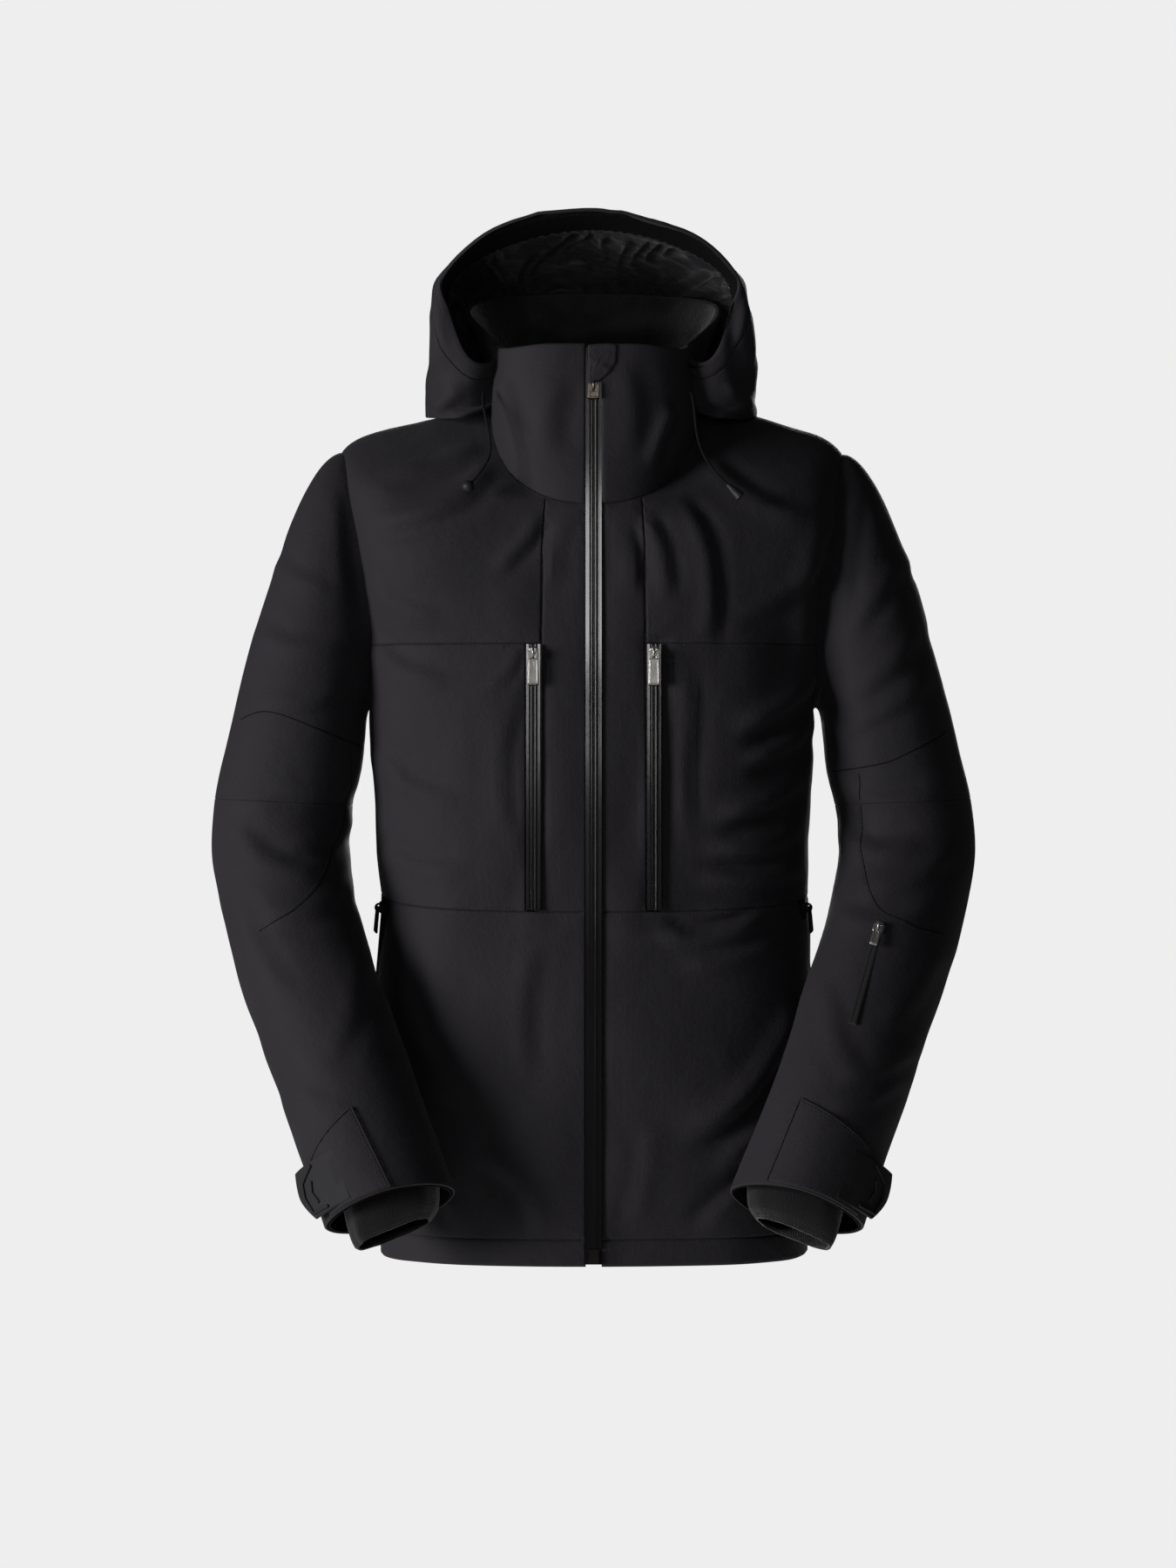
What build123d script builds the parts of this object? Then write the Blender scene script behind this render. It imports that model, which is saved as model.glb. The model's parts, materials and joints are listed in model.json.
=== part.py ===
from build123d import *
import math
import os

# A hooded ski jacket, zipped up and held at its hanger loop. Millimetres, +Z up, front towards -Y,
# +X towards the wearer's left. The origin is the hanger loop at the centre back of the neck.

# ---- driving dimensions ----
SHELL = 5.0            # shell fabric with its insulation
LINING = 1.6           # lining cloth
LINING_GAP = 0.3       # between the insulation and the lining
ROUNDNESS = 0.97       # how round the body's outline is, as a share of half its depth
FRONT_Y = -170.7       # the zip line, which leans back: its depth at the origin's height
FRONT_LEAN = 0.0619    # and how much further forward it comes for each millimetre down
HEM_Z = -765.0
HEM_SEAM_Z = -741.0
LINING_END_Z = -740.0
WAIST_Z = -451.0
YOKE_Z = -211.0
SHOULDER_TOP_Z = -3.0
SIDE_SEAM_Y = -78.0    # the side seams stand in this plane
PLACKET = 7.5          # half the gap that the main zip fills
CHEST_ZIP_X = 54.0
CHEST_SLOT = 6.5       # half the gap that a chest zip fills
COLLAR_WALL = 7.0
ZIP_COIL_WIDTH = 6.0
ZIP_COIL_HEIGHT = 2.6
ZIP_TAPE_HEIGHT = 2.0
RUN_GAP = 0.35         # clearance round each moving piece
CORD_DIAMETER = 2.5
ELBOW = Vector(-287, -92, -377)
WRIST = Vector(-178, -257, -712)
ELBOW_ABOVE = 38.0     # where the upper sleeve ends, above the elbow
ELBOW_BELOW = 48.0     # where the forearm starts, below the elbow
CUFF_LENGTH = 58.0
FOREARM_RADIUS = 59.0


def front_y(z):
    """Depth of the leaning plane that the front zips lie in."""
    return FRONT_Y + FRONT_LEAN * z


# Outlines from the hem up to the shoulders: height, half width, front depth, back depth
BODY = [
    (HEM_Z, 197, front_y(HEM_Z), 50),
    (WAIST_Z, 196, front_y(WAIST_Z), 45),
    (-290, 201, front_y(-290), 50),
    (-130, 224, front_y(-130), 44),
    (-50, 238, -165, 20),
    (SHOULDER_TOP_Z, 150, -112, -5),
]
# The hood, from its hem round the neck up to its crown
HOOD = [
    (3, 151, -150, 25),
    (40, 148, -155, 45),
    (100, 142, -160, 62),
    (135, 136, -160, 66),
    (151, 127, -158, 62),
    (167, 107, -155, 50),
    (183, 69, -145, 25),
    (193.5, 25, -120, -20),
]
COLLAR = [
    (-100, 97, front_y(-100), 9),
    (125, 90, front_y(125), 14),
]
# The right sleeve above the elbow, as level ovals: height, centre x, centre y, half width, half depth
SLEEVE_CAP = [
    (-42, -226, -74, 27, 46),
    (-110, -245, -76, 34, 70),
    (-210, -260.5, -80, 46.5, 80),
]
UPPER_SLEEVE = [
    (-210.5, -260.5, -80, 46.0, 79),
    (-300, -271, -86, 63, 70),
    (ELBOW.Z + ELBOW_ABOVE, -281, -90, 63.5, 66),
]
# The right forearm's centre line: height, x, y
FOREARM = [
    (-487, -265, -148),
    (-621, -214, -217),
]


def level_outline(z, half_width, front, back, inset=0.0):
    """Rounded outline of the body, hood or collar at one height, drawn in by inset."""
    width = 2 * (half_width - inset)
    depth = back - front - 2 * inset
    corner = ROUNDNESS * min(width, depth) / 2
    return Pos(0, (front + back) / 2, z) * RectangleRounded(width, depth, corner)


def tower(outlines, inset=0.0, bottom=0.0, top=0.0):
    """Solid through a stack of level outlines, its two ends moved by bottom and top."""
    rows = [list(row) for row in outlines]
    rows[0][0] += bottom
    rows[-1][0] += top
    return loft([level_outline(*row, inset) for row in rows], ruled=True)


def oval(row, inset=0.0):
    z, x, y, half_width, half_depth = row
    return Pos(x, y, z) * Ellipse(half_width - inset, half_depth - inset)


def slab(x0, x1, y0, y1, z0, z1):
    """Box between two corners."""
    return Pos((x0 + x1) / 2, (y0 + y1) / 2, (z0 + z1) / 2) * Box(x1 - x0, y1 - y0, z1 - z0)


def prism(points, y0, y1):
    """An outline in X and Z, carried along Y from y0 to y1."""
    face = Plane.XZ.offset(-y0) * make_face(Polyline(*points, close=True))
    return extrude(face, amount=-(y1 - y0))


def mirrored(shape):
    return mirror(shape, about=Plane.YZ)


nodes = {}

# ---- body ----
FAR = 400.0
body_outer = tower(BODY)
body_shell = body_outer - tower(BODY, SHELL, bottom=-1, top=-SHELL)
neck_hole = tower(COLLAR)


def below_neck_line(shape):
    """What is left of a shape under the sloping seam between the body and the collar."""
    return shape - neck_hole


front_half = slab(-FAR, FAR, -FAR, SIDE_SEAM_Y, HEM_Z - 2, 0)
back_half = slab(-FAR, FAR, SIDE_SEAM_Y, FAR, HEM_Z - 2, 0)
front_shell = below_neck_line(body_shell & front_half)
back_shell = below_neck_line(body_shell & back_half)

waist_rise = WAIST_Z + 14
front_panels = {
    "front_yoke": [(-PLACKET, YOKE_Z), (-FAR, YOKE_Z), (-FAR, 10), (-PLACKET, 10)],
    "chest_panel": [
        (-CHEST_ZIP_X - CHEST_SLOT, YOKE_Z), (-CHEST_ZIP_X - CHEST_SLOT, WAIST_Z),
        (-150, WAIST_Z), (-185, waist_rise), (-FAR, waist_rise), (-FAR, YOKE_Z),
    ],
    "centre_panel": [
        (-PLACKET, YOKE_Z), (-PLACKET, WAIST_Z),
        (-CHEST_ZIP_X + CHEST_SLOT, WAIST_Z), (-CHEST_ZIP_X + CHEST_SLOT, YOKE_Z),
    ],
    "lower_front": [
        (-PLACKET, HEM_SEAM_Z), (-PLACKET, WAIST_Z), (-150, WAIST_Z),
        (-185, waist_rise), (-FAR, waist_rise), (-FAR, HEM_SEAM_Z),
    ],
}
for name, outline in front_panels.items():
    panel = front_shell & prism(outline, -FAR, 0)
    nodes[name + "_right"] = panel
    nodes[name + "_left"] = mirrored(panel)

nodes["back_yoke"] = back_shell & slab(-FAR, FAR, SIDE_SEAM_Y, FAR, YOKE_Z, 0)
nodes["back_panel"] = back_shell & slab(-FAR, FAR, SIDE_SEAM_Y, FAR, HEM_SEAM_Z, YOKE_Z)
hem_ring = body_shell & slab(-FAR, FAR, -FAR, FAR, HEM_Z - 2, HEM_SEAM_Z)
nodes["hem_band"] = hem_ring - slab(-PLACKET, PLACKET, -FAR, SIDE_SEAM_Y, HEM_Z - 9, HEM_SEAM_Z + 9)

lining_in = SHELL + LINING_GAP
lining_shell = tower(BODY, lining_in, top=-lining_in)
lining_shell -= tower(BODY, lining_in + LINING, bottom=-1, top=-lining_in - LINING)
lining_shell -= slab(-FAR, FAR, -FAR, FAR, HEM_Z - 2, LINING_END_Z)
lining_gap_strip = slab(-PLACKET, PLACKET, -FAR, SIDE_SEAM_Y, HEM_Z, 0)
nodes["body_lining"] = lining_shell - neck_hole - lining_gap_strip

# ---- collar ----
NECK_SEAM_FRONT_Z = -86.0
NECK_SEAM_BACK_Z = -12.0
COLLAR_FRONT_Z = 59.0
COLLAR_BACK_Z = 112.0
collar_ring = tower(COLLAR) - tower(COLLAR, COLLAR_WALL, bottom=-1, top=1)
collar_side = Plane.YZ * make_face(Polyline(
    (-185, NECK_SEAM_FRONT_Z), (-185, COLLAR_FRONT_Z), (-150, COLLAR_FRONT_Z),
    (25, COLLAR_BACK_Z), (25, NECK_SEAM_BACK_Z), close=True))
collar_ring = collar_ring & extrude(collar_side, amount=FAR / 2, both=True)
COLLAR_SIDE_Y = -60.0
collar_front = collar_ring & slab(-FAR, -PLACKET, -FAR, COLLAR_SIDE_Y, -120, 140)
nodes["collar_front_right"] = collar_front
nodes["collar_front_left"] = mirrored(collar_front)
nodes["collar_back"] = collar_ring & slab(-FAR, FAR, COLLAR_SIDE_Y, FAR, -120, 140)

loop_bar = 3.0
loop_width = 44.0
loop_height = 14.0
loop_outer = RectangleRounded(loop_width, loop_height, 6.5)
loop_inner = RectangleRounded(loop_width - 2 * loop_bar, loop_height - 2 * loop_bar, 3.8)
loop_face = Plane.XZ * Pos(0, loop_bar - loop_height / 2) * (loop_outer - loop_inner)
nodes["hanger_loop"] = extrude(loop_face, amount=1.5)


# ---- zips ----
def zip_plane(top, bottom, outward):
    """Plane with its origin at a zip's top, Y up along the zip and Z out of the jacket."""
    up = (top - bottom).normalized()
    out = (outward - up * outward.dot(up)).normalized()
    return Plane(origin=top, x_dir=up.cross(out), z_dir=out)


def zip_tape(width, length):
    return Pos(0, -length / 2, -ZIP_TAPE_HEIGHT / 2) * Box(width, length, ZIP_TAPE_HEIGHT)


def zip_coil(length):
    return Pos(0, -length / 2, ZIP_COIL_HEIGHT / 2) * Box(ZIP_COIL_WIDTH, length, ZIP_COIL_HEIGHT)


SLIDER_WIDTH = 10.0
SLIDER_LENGTH = 11.0
SLIDER_PLATE = 1.8
LUG_HEIGHT = 5.0
EYE_HEIGHT = ZIP_COIL_HEIGHT + RUN_GAP + SLIDER_PLATE + 2.6   # of the pull's bar above the zip's face
BAR_RADIUS = 1.0


def zip_slider(centre):
    """Slider whose top plate and two cheeks run round the coil, with an eye for the pull."""
    plate_z = ZIP_COIL_HEIGHT + RUN_GAP
    plate = Pos(0, centre, plate_z + SLIDER_PLATE / 2) * Box(SLIDER_WIDTH, SLIDER_LENGTH, SLIDER_PLATE)
    plate = fillet(plate.edges().filter_by(Axis.Z), 2.5)
    cheek_width = SLIDER_WIDTH / 2 - ZIP_COIL_WIDTH / 2 - RUN_GAP
    cheek_x = ZIP_COIL_WIDTH / 2 + RUN_GAP + cheek_width / 2
    for side in (-1, 1):
        place = Pos(side * cheek_x, centre, RUN_GAP + (plate_z - RUN_GAP) / 2)
        plate += place * Box(cheek_width, SLIDER_LENGTH - 5, plate_z - RUN_GAP)
    lug = Pos(0, centre, plate_z + SLIDER_PLATE + LUG_HEIGHT / 2 - 0.2) * Box(2.2, 6.0, LUG_HEIGHT)
    eye = Pos(0, centre, EYE_HEIGHT) * Rot(0, 90, 0) * Cylinder(BAR_RADIUS + RUN_GAP, 9)
    return plate + lug - eye


def zip_pull(centre, length, width):
    """Pull hanging from its bar, which turns in the slider's eye."""
    thickness = 1.7
    arm = 4.6
    bar = Pos(0, centre, EYE_HEIGHT) * Rot(0, 90, 0) * Cylinder(BAR_RADIUS, 6.4)
    plate_place = Pos(0, centre - arm - (length - arm) / 2, EYE_HEIGHT)
    plate = plate_place * Box(width, length - arm, thickness)
    plate = fillet(plate.edges().filter_by(Axis.Z), width * 0.3)
    for side in (-1, 1):
        plate += Pos(side * 2.55, centre - arm / 2 - 0.5, EYE_HEIGHT) * Box(1.3, arm + 1.6, thickness)
    return bar + plate


def add_zip(name, top, bottom, outward, pull_length, pull_width, tape_width, slider_at):
    """Tape, coil, slider and pull of one zip."""
    length = (top - bottom).length
    plane = zip_plane(top, bottom, outward)
    nodes[name + "_zip_tape"] = plane * (zip_tape(tape_width, length) + zip_coil(length))
    nodes[name + "_zip_slider"] = plane * zip_slider(-slider_at)
    nodes[name + "_zip_pull"] = plane * zip_pull(-slider_at, pull_length, pull_width)


front_out = Vector(0, -1, FRONT_LEAN)


def front_point(x, z, proud=0.0):
    return Vector(x, front_y(z) - proud, z)


add_zip("main", front_point(0, COLLAR_FRONT_Z - 4, 0.5), front_point(0, HEM_Z + 16, 0.5), front_out,
        pull_length=12, pull_width=10.5, tape_width=2 * PLACKET - 0.6, slider_at=35)
for side, x in (("right", -CHEST_ZIP_X), ("left", CHEST_ZIP_X)):
    add_zip("chest_" + side, front_point(x, YOKE_Z - 1), front_point(x, WAIST_Z + 1), front_out,
            pull_length=29, pull_width=10, tape_width=2 * CHEST_SLOT - 0.6, slider_at=8)

HAND_TOP = Vector(-188, -134.5, -441)
HAND_BOTTOM = Vector(-203, -92, -590)
HAND_OUT = Vector(-0.93, -0.37, 0)
add_zip("hand_right", HAND_TOP, HAND_BOTTOM, HAND_OUT,
        pull_length=24, pull_width=8, tape_width=13, slider_at=8)
add_zip("hand_left", Vector(-HAND_TOP.X, HAND_TOP.Y, HAND_TOP.Z),
        Vector(-HAND_BOTTOM.X, HAND_BOTTOM.Y, HAND_BOTTOM.Z), Vector(-HAND_OUT.X, HAND_OUT.Y, 0),
        pull_length=24, pull_width=8, tape_width=13, slider_at=8)
body_cover = tower(BODY, -0.1)
for side in ("right", "left"):
    nodes["hand_" + side + "_zip_tape"] -= body_cover

box_top = HEM_Z + 15.5
box_plane = zip_plane(front_point(0, box_top, 1.0), front_point(0, HEM_Z, 1.0), front_out)
nodes["main_zip_box"] = box_plane * Pos(0, -6.5, 0.5) * Box(9, 12, 5)

garage_bottom = COLLAR_FRONT_Z - 30
garage_top = COLLAR_FRONT_Z
garage_plane = zip_plane(front_point(0, garage_top, 0.5), front_point(0, garage_bottom, 0.5), front_out)
garage_length = garage_top - garage_bottom
garage_cover = Pos(2, -garage_length / 2, 6.0) * Box(24, garage_length, 2.5)
garage_side = Pos(-8.7, -garage_length / 2, 2.8) * Box(2.6, garage_length, 5.0)
garage_side_far = Pos(12.7, -garage_length / 2, 2.8) * Box(2.6, garage_length, 5.0)
nodes["zip_garage"] = garage_plane * (garage_cover + garage_side + garage_side_far)

# ---- sleeves ----
forearm_dir = (WRIST - ELBOW).normalized()
forearm_x = (Vector(1, 0, 0) - forearm_dir * forearm_dir.X).normalized()


def forearm_plane(centre):
    """Plane across the forearm at a point of its centre line."""
    return Plane(origin=centre, x_dir=forearm_x, z_dir=forearm_dir)


forearm_start = ELBOW + forearm_dir * ELBOW_BELOW + Vector(-5, 0, 0)
forearm_middle = [Vector(x, y, z) for z, x, y in FOREARM]
cuff_start = WRIST - forearm_dir * CUFF_LENGTH


def forearm_tube(centres, radius):
    return loft([forearm_plane(c) * Circle(radius) for c in centres], ruled=True)


forearm_centres = [forearm_start, *forearm_middle, cuff_start]
forearm_outer = forearm_tube(forearm_centres, FOREARM_RADIUS)
inner_centres = [forearm_start - forearm_dir, *forearm_middle, cuff_start + forearm_dir]
forearm = forearm_outer - forearm_tube(inner_centres, FOREARM_RADIUS - SHELL)
cuff = forearm_plane(cuff_start) * Pos(0, 0, CUFF_LENGTH / 2) * Cylinder(FOREARM_RADIUS + 1.0, CUFF_LENGTH)
cuff -= forearm_plane(cuff_start) * Pos(0, 0, CUFF_LENGTH / 2) * Cylinder(FOREARM_RADIUS - SHELL, CUFF_LENGTH + 2)
GAITER_LENGTH = 62.0
gaiter_radius = FOREARM_RADIUS - SHELL - 0.6
gaiter_place = forearm_plane(WRIST - forearm_dir * 40) * Pos(0, 0, GAITER_LENGTH / 2)
gaiter = gaiter_place * Cylinder(gaiter_radius, GAITER_LENGTH)
gaiter -= gaiter_place * Cylinder(gaiter_radius - 2.0, GAITER_LENGTH + 2)

upper = loft([oval(row) for row in UPPER_SLEEVE], ruled=True)
upper_rows = [list(row) for row in UPPER_SLEEVE]
upper_rows[0][0] += 1
upper_rows[-1][0] -= 1
upper -= loft([oval(row, SHELL) for row in upper_rows], ruled=True)

cap = loft([oval(row) for row in SLEEVE_CAP], ruled=True)
cap_rows = [list(row) for row in SLEEVE_CAP]
cap_rows[0][0] -= SHELL
cap_rows[-1][0] -= 1
cap -= loft([oval(row, SHELL) for row in cap_rows], ruled=True)
cap -= tower(BODY, -0.3, top=0.3)

band_top = list(UPPER_SLEEVE[-1])
band_top[0] -= 0.6
band_end = forearm_start - forearm_dir * 0.6


def elbow_sleeve(inset, longer):
    first = list(band_top)
    first[0] += longer
    lower = forearm_plane(band_end + forearm_dir * longer) * Circle(FOREARM_RADIUS - inset)
    return loft([oval(first, inset), lower], ruled=True)


elbow_band = elbow_sleeve(0, 0) - elbow_sleeve(SHELL, 1)

TAB_LENGTH = 44.0
TAB_WIDTH = 34.0
TAB_THICKNESS = 3.0
tab_out = (Vector(-0.75, -0.66, 0) - forearm_dir * Vector(-0.75, -0.66, 0).dot(forearm_dir)).normalized()
tab_centre = WRIST - forearm_dir * 26 + tab_out * (FOREARM_RADIUS + 1.0 + 0.6)
tab_plane = Plane(origin=tab_centre, x_dir=forearm_dir.cross(tab_out), z_dir=tab_out)
tab = tab_plane * Pos(0, 0, TAB_THICKNESS / 2) * Box(TAB_LENGTH, TAB_WIDTH, TAB_THICKNESS)
tab_hinge = tab_plane.from_local_coords(Vector(-TAB_LENGTH / 2, 0, TAB_THICKNESS / 2))

for name, shape in (("sleeve_cap", cap), ("upper_sleeve", upper), ("elbow_band", elbow_band),
                    ("forearm", forearm), ("cuff", cuff), ("wrist_gaiter", gaiter), ("cuff_tab", tab)):
    nodes[name + "_right"] = shape
    nodes[name + "_left"] = mirrored(shape)

# Pass pocket on the wearer's left forearm, along the sleeve
PASS_TOP = 128.0       # from the elbow, along the forearm
PASS_LENGTH = 104.0
left_dir = Vector(-forearm_dir.X, forearm_dir.Y, forearm_dir.Z)
pass_out = Vector(-0.15, -0.98, 0)
pass_out = (pass_out - left_dir * pass_out.dot(left_dir)).normalized()
left_start = Vector(-forearm_start.X, forearm_start.Y, forearm_start.Z)
left_middle = Vector(-forearm_middle[1].X, forearm_middle[1].Y, forearm_middle[1].Z)
pass_run = (left_middle - left_start).normalized()
pass_top = left_start + pass_run * (PASS_TOP - ELBOW_BELOW) + pass_out * (FOREARM_RADIUS + 3.4)
add_zip("sleeve_pocket", pass_top, pass_top + pass_run * PASS_LENGTH, pass_out,
        pull_length=20, pull_width=7.5, tape_width=12, slider_at=8)
nodes["sleeve_pocket_zip_tape"] -= mirrored(forearm_tube(forearm_centres, FOREARM_RADIUS + 0.1))


# ---- hood ----
hood_outer = tower(HOOD)
hood_shell = hood_outer - tower(HOOD, SHELL, bottom=-1, top=-SHELL)
face_opening = [(-80, -5), (-82, 38), (-116, 50), (-126, 100), (-104, 134), (-40, 152)]
face_opening = face_opening + [(-x, z) for x, z in reversed(face_opening)]
BRIM_Y = -126.0
BRIM_Z = 96.0
CROWN_X = 52.0
face_hole = prism(face_opening, -FAR, SIDE_SEAM_Y)
hood_shell -= face_hole
hood_shell -= slab(-97, 97, -FAR, 26, 0, 2.9)
brim_zone = slab(-FAR, FAR, -FAR, BRIM_Y, BRIM_Z, 250)
crown_zone = slab(-CROWN_X, CROWN_X, BRIM_Y, FAR, 0, 250)
nodes["hood_brim"] = hood_shell & brim_zone
hood_rest = hood_shell - brim_zone
nodes["hood_crown"] = hood_rest & crown_zone
nodes["hood_side_right"] = (hood_rest - crown_zone) & slab(-FAR, 0, -FAR, FAR, 0, 250)
nodes["hood_side_left"] = (hood_rest - crown_zone) & slab(0, FAR, -FAR, FAR, 0, 250)
hood_lining = tower(HOOD, lining_in, top=-lining_in)
hood_lining -= tower(HOOD, lining_in + LINING, bottom=-1, top=-lining_in - LINING)
nodes["hood_lining"] = hood_lining - face_hole - slab(-FAR, FAR, -FAR, FAR, 0, 9)
nodes["hood_rear_adjuster"] = Pos(0, 66 + 4.4, 118) * Box(22, 7, 30)
nodes["hood_rear_adjuster"] -= tower(HOOD, -0.2)


def limp_path(points):
    """Straight runs joined by arcs almost as large as the runs allow."""
    radii = []
    for before, here, after in zip(points, points[1:], points[2:]):
        first, second = here - before, after - here
        turn = math.radians(first.get_angle(second))
        radii.append(0.45 * min(first.length, second.length) / math.tan(turn / 2))
    return FilletPolyline(*points, radius=radii)


def limp_cord(points):
    path = limp_path(points)
    start = Plane(origin=path @ 0, z_dir=path % 0)
    return sweep(start * Circle(CORD_DIAMETER / 2), path=path)


CORD_RIGHT = [
    Vector(-99, -151.2, 16), Vector(-100, -164, 8), Vector(-97, -172, -7),
    Vector(-93, -175, -24), Vector(-92, -177, -41), Vector(-99, -179, -55), Vector(-109, -180.5, -67),
]
CORD_LEFT = [
    Vector(88, -151.2, 16), Vector(90, -164, 7), Vector(91, -172, -9),
    Vector(93, -175, -27), Vector(99, -177, -44), Vector(109, -179, -58), Vector(120, -180.5, -69),
]
nodes["hood_cord_right"] = limp_cord(CORD_RIGHT)
nodes["hood_cord_left"] = limp_cord(CORD_LEFT)
tip_dir = (CORD_RIGHT[-1] - CORD_RIGHT[-2]).normalized()
nodes["cord_end_right"] = Pos(CORD_RIGHT[-1] + tip_dir * 5.0) * Sphere(5.5)
drop_dir = (CORD_LEFT[-1] - CORD_LEFT[-2]).normalized()
drop_plane = Plane(origin=CORD_LEFT[-1] + drop_dir * 8, z_dir=drop_dir)
nodes["cord_end_left"] = drop_plane * Cone(2.2, 5.2, 16)

os.makedirs("parts", exist_ok=True)
for name, shape in nodes.items():
    export_step(shape, "parts/" + name + ".step")
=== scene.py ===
import copy
import json
import math

import bpy
import numpy as np
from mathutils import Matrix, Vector


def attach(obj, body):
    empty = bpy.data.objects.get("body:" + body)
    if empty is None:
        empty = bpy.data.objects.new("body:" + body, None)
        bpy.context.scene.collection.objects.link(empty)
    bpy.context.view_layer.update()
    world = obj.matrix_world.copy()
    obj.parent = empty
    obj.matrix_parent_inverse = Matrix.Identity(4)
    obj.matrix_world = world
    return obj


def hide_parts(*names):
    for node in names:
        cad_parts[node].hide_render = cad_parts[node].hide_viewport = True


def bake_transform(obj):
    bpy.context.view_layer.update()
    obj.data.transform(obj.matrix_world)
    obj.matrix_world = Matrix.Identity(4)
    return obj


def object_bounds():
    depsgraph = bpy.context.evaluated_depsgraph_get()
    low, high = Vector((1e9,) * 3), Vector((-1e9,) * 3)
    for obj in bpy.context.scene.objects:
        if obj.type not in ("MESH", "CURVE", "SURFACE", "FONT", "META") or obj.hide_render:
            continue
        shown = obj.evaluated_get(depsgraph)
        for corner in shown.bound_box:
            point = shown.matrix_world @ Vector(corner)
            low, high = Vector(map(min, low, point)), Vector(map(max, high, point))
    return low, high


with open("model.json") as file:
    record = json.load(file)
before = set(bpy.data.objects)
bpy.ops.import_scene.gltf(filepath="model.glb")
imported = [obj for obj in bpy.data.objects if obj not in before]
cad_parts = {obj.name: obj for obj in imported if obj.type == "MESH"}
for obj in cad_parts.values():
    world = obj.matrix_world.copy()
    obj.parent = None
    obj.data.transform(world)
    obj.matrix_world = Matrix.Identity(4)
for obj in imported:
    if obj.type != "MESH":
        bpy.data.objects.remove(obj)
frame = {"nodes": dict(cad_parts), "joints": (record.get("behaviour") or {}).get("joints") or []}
cad_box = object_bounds()

# A hooded ski jacket seen from the front. Shapes are worked out in millimetres in the frame's axes:
# +Z up, front towards -Y, +X towards the wearer's left. Meshes are made in metres.
MM = 0.001
FRONT_Y = -170.7        # the front zips' leaning plane, as in the frame
FRONT_LEAN = 0.0619
HEM_Z = -765.0
PLACKET = 7.1           # half the gap between the two fronts
CHEST_ZIP_X = 54.0
CHEST_SLOT = 6.5
YOKE_TOP_X = 45.0       # where the seam above a chest zip meets the collar
FOLD_GAIN = 1.9         # how strongly the cloth is folded
FOLD_START, FOLD_END = 0.25, 0.3      # shares over which a fold rises and dies away
FOLD_VALLEY = 0.8       # how deep its valley is for its ridge
SLEEVE_FOLD_SHARE = 0.5
TAB_PROUD = 8.0         # how far the cuff tab's end stands off the sleeve
SIDES = ((-1, "right"), (1, "left"))      # the wearer's right is at negative x
STITCH, STITCH_PITCH = 2.4, 3.4             # a thread's length, and from one to the next
THREAD_HALF, THREAD_TALL = 0.34, 0.3        # half its width, and its height
SEAM_TO_THREAD = 2.6
CLOTH = 2.6             # thickness of the shell with its insulation, as the edges show it


def front_y(z):
    return FRONT_Y + FRONT_LEAN * z


# ---------------------------------------------------------------- curves and surfaces
def unit(vectors):
    return vectors / np.maximum(np.linalg.norm(vectors, axis=-1, keepdims=True), 1e-9)


def signed_power(values, power):
    return np.sign(values) * np.abs(values) ** power


def run_along(points, axis=0):
    """Distances from the first of the points, summed along an axis of their array."""
    first = np.take(points, [0], axis=axis)
    return np.cumsum(np.linalg.norm(np.diff(points, axis=axis, prepend=first), axis=-1), axis=axis)


def read_at(at, run, values):
    """Columns of values, read at distances along a run."""
    return np.stack([np.interp(at, run, column) for column in values.T], axis=1)


def smooth_step(t):
    t = np.clip(t, 0.0, 1.0)
    return t * t * (3 - 2 * t)


def hermite_weights(knots, t):
    """Weights on values at the knots that give a smooth curve through them, one row for each t."""
    knots = np.asarray(knots, float)
    t = np.clip(np.asarray(t, float), knots[0], knots[-1])
    count = len(knots)
    i = np.clip(np.searchsorted(knots, t, side="right") - 1, 0, count - 2)
    h = knots[i + 1] - knots[i]
    s = (t - knots[i]) / h
    rows = np.arange(len(t))
    w = np.zeros((len(t), count))
    w[rows, i] += 2 * s**3 - 3 * s**2 + 1
    w[rows, i + 1] += -2 * s**3 + 3 * s**2
    for j, slope_weight in ((i, (s**3 - 2 * s**2 + s) * h), (i + 1, (s**3 - s**2) * h)):
        low = np.maximum(j - 1, 0)
        high = np.minimum(j + 1, count - 1)
        span = knots[high] - knots[low]
        np.add.at(w, (rows, high), slope_weight / span)
        np.add.at(w, (rows, low), -slope_weight / span)
    return w


def smooth_path(points, samples):
    """Points evenly spread along a smooth curve through a few given ones."""
    points = np.asarray(points, float)
    chord = run_along(points)
    fine = hermite_weights(chord, np.linspace(0, chord[-1], samples * 4)) @ points
    run = run_along(fine)
    return read_at(np.linspace(0, run[-1], samples), run, fine)


LAP = 3                 # columns that a closed surface repeats on either side


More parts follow.
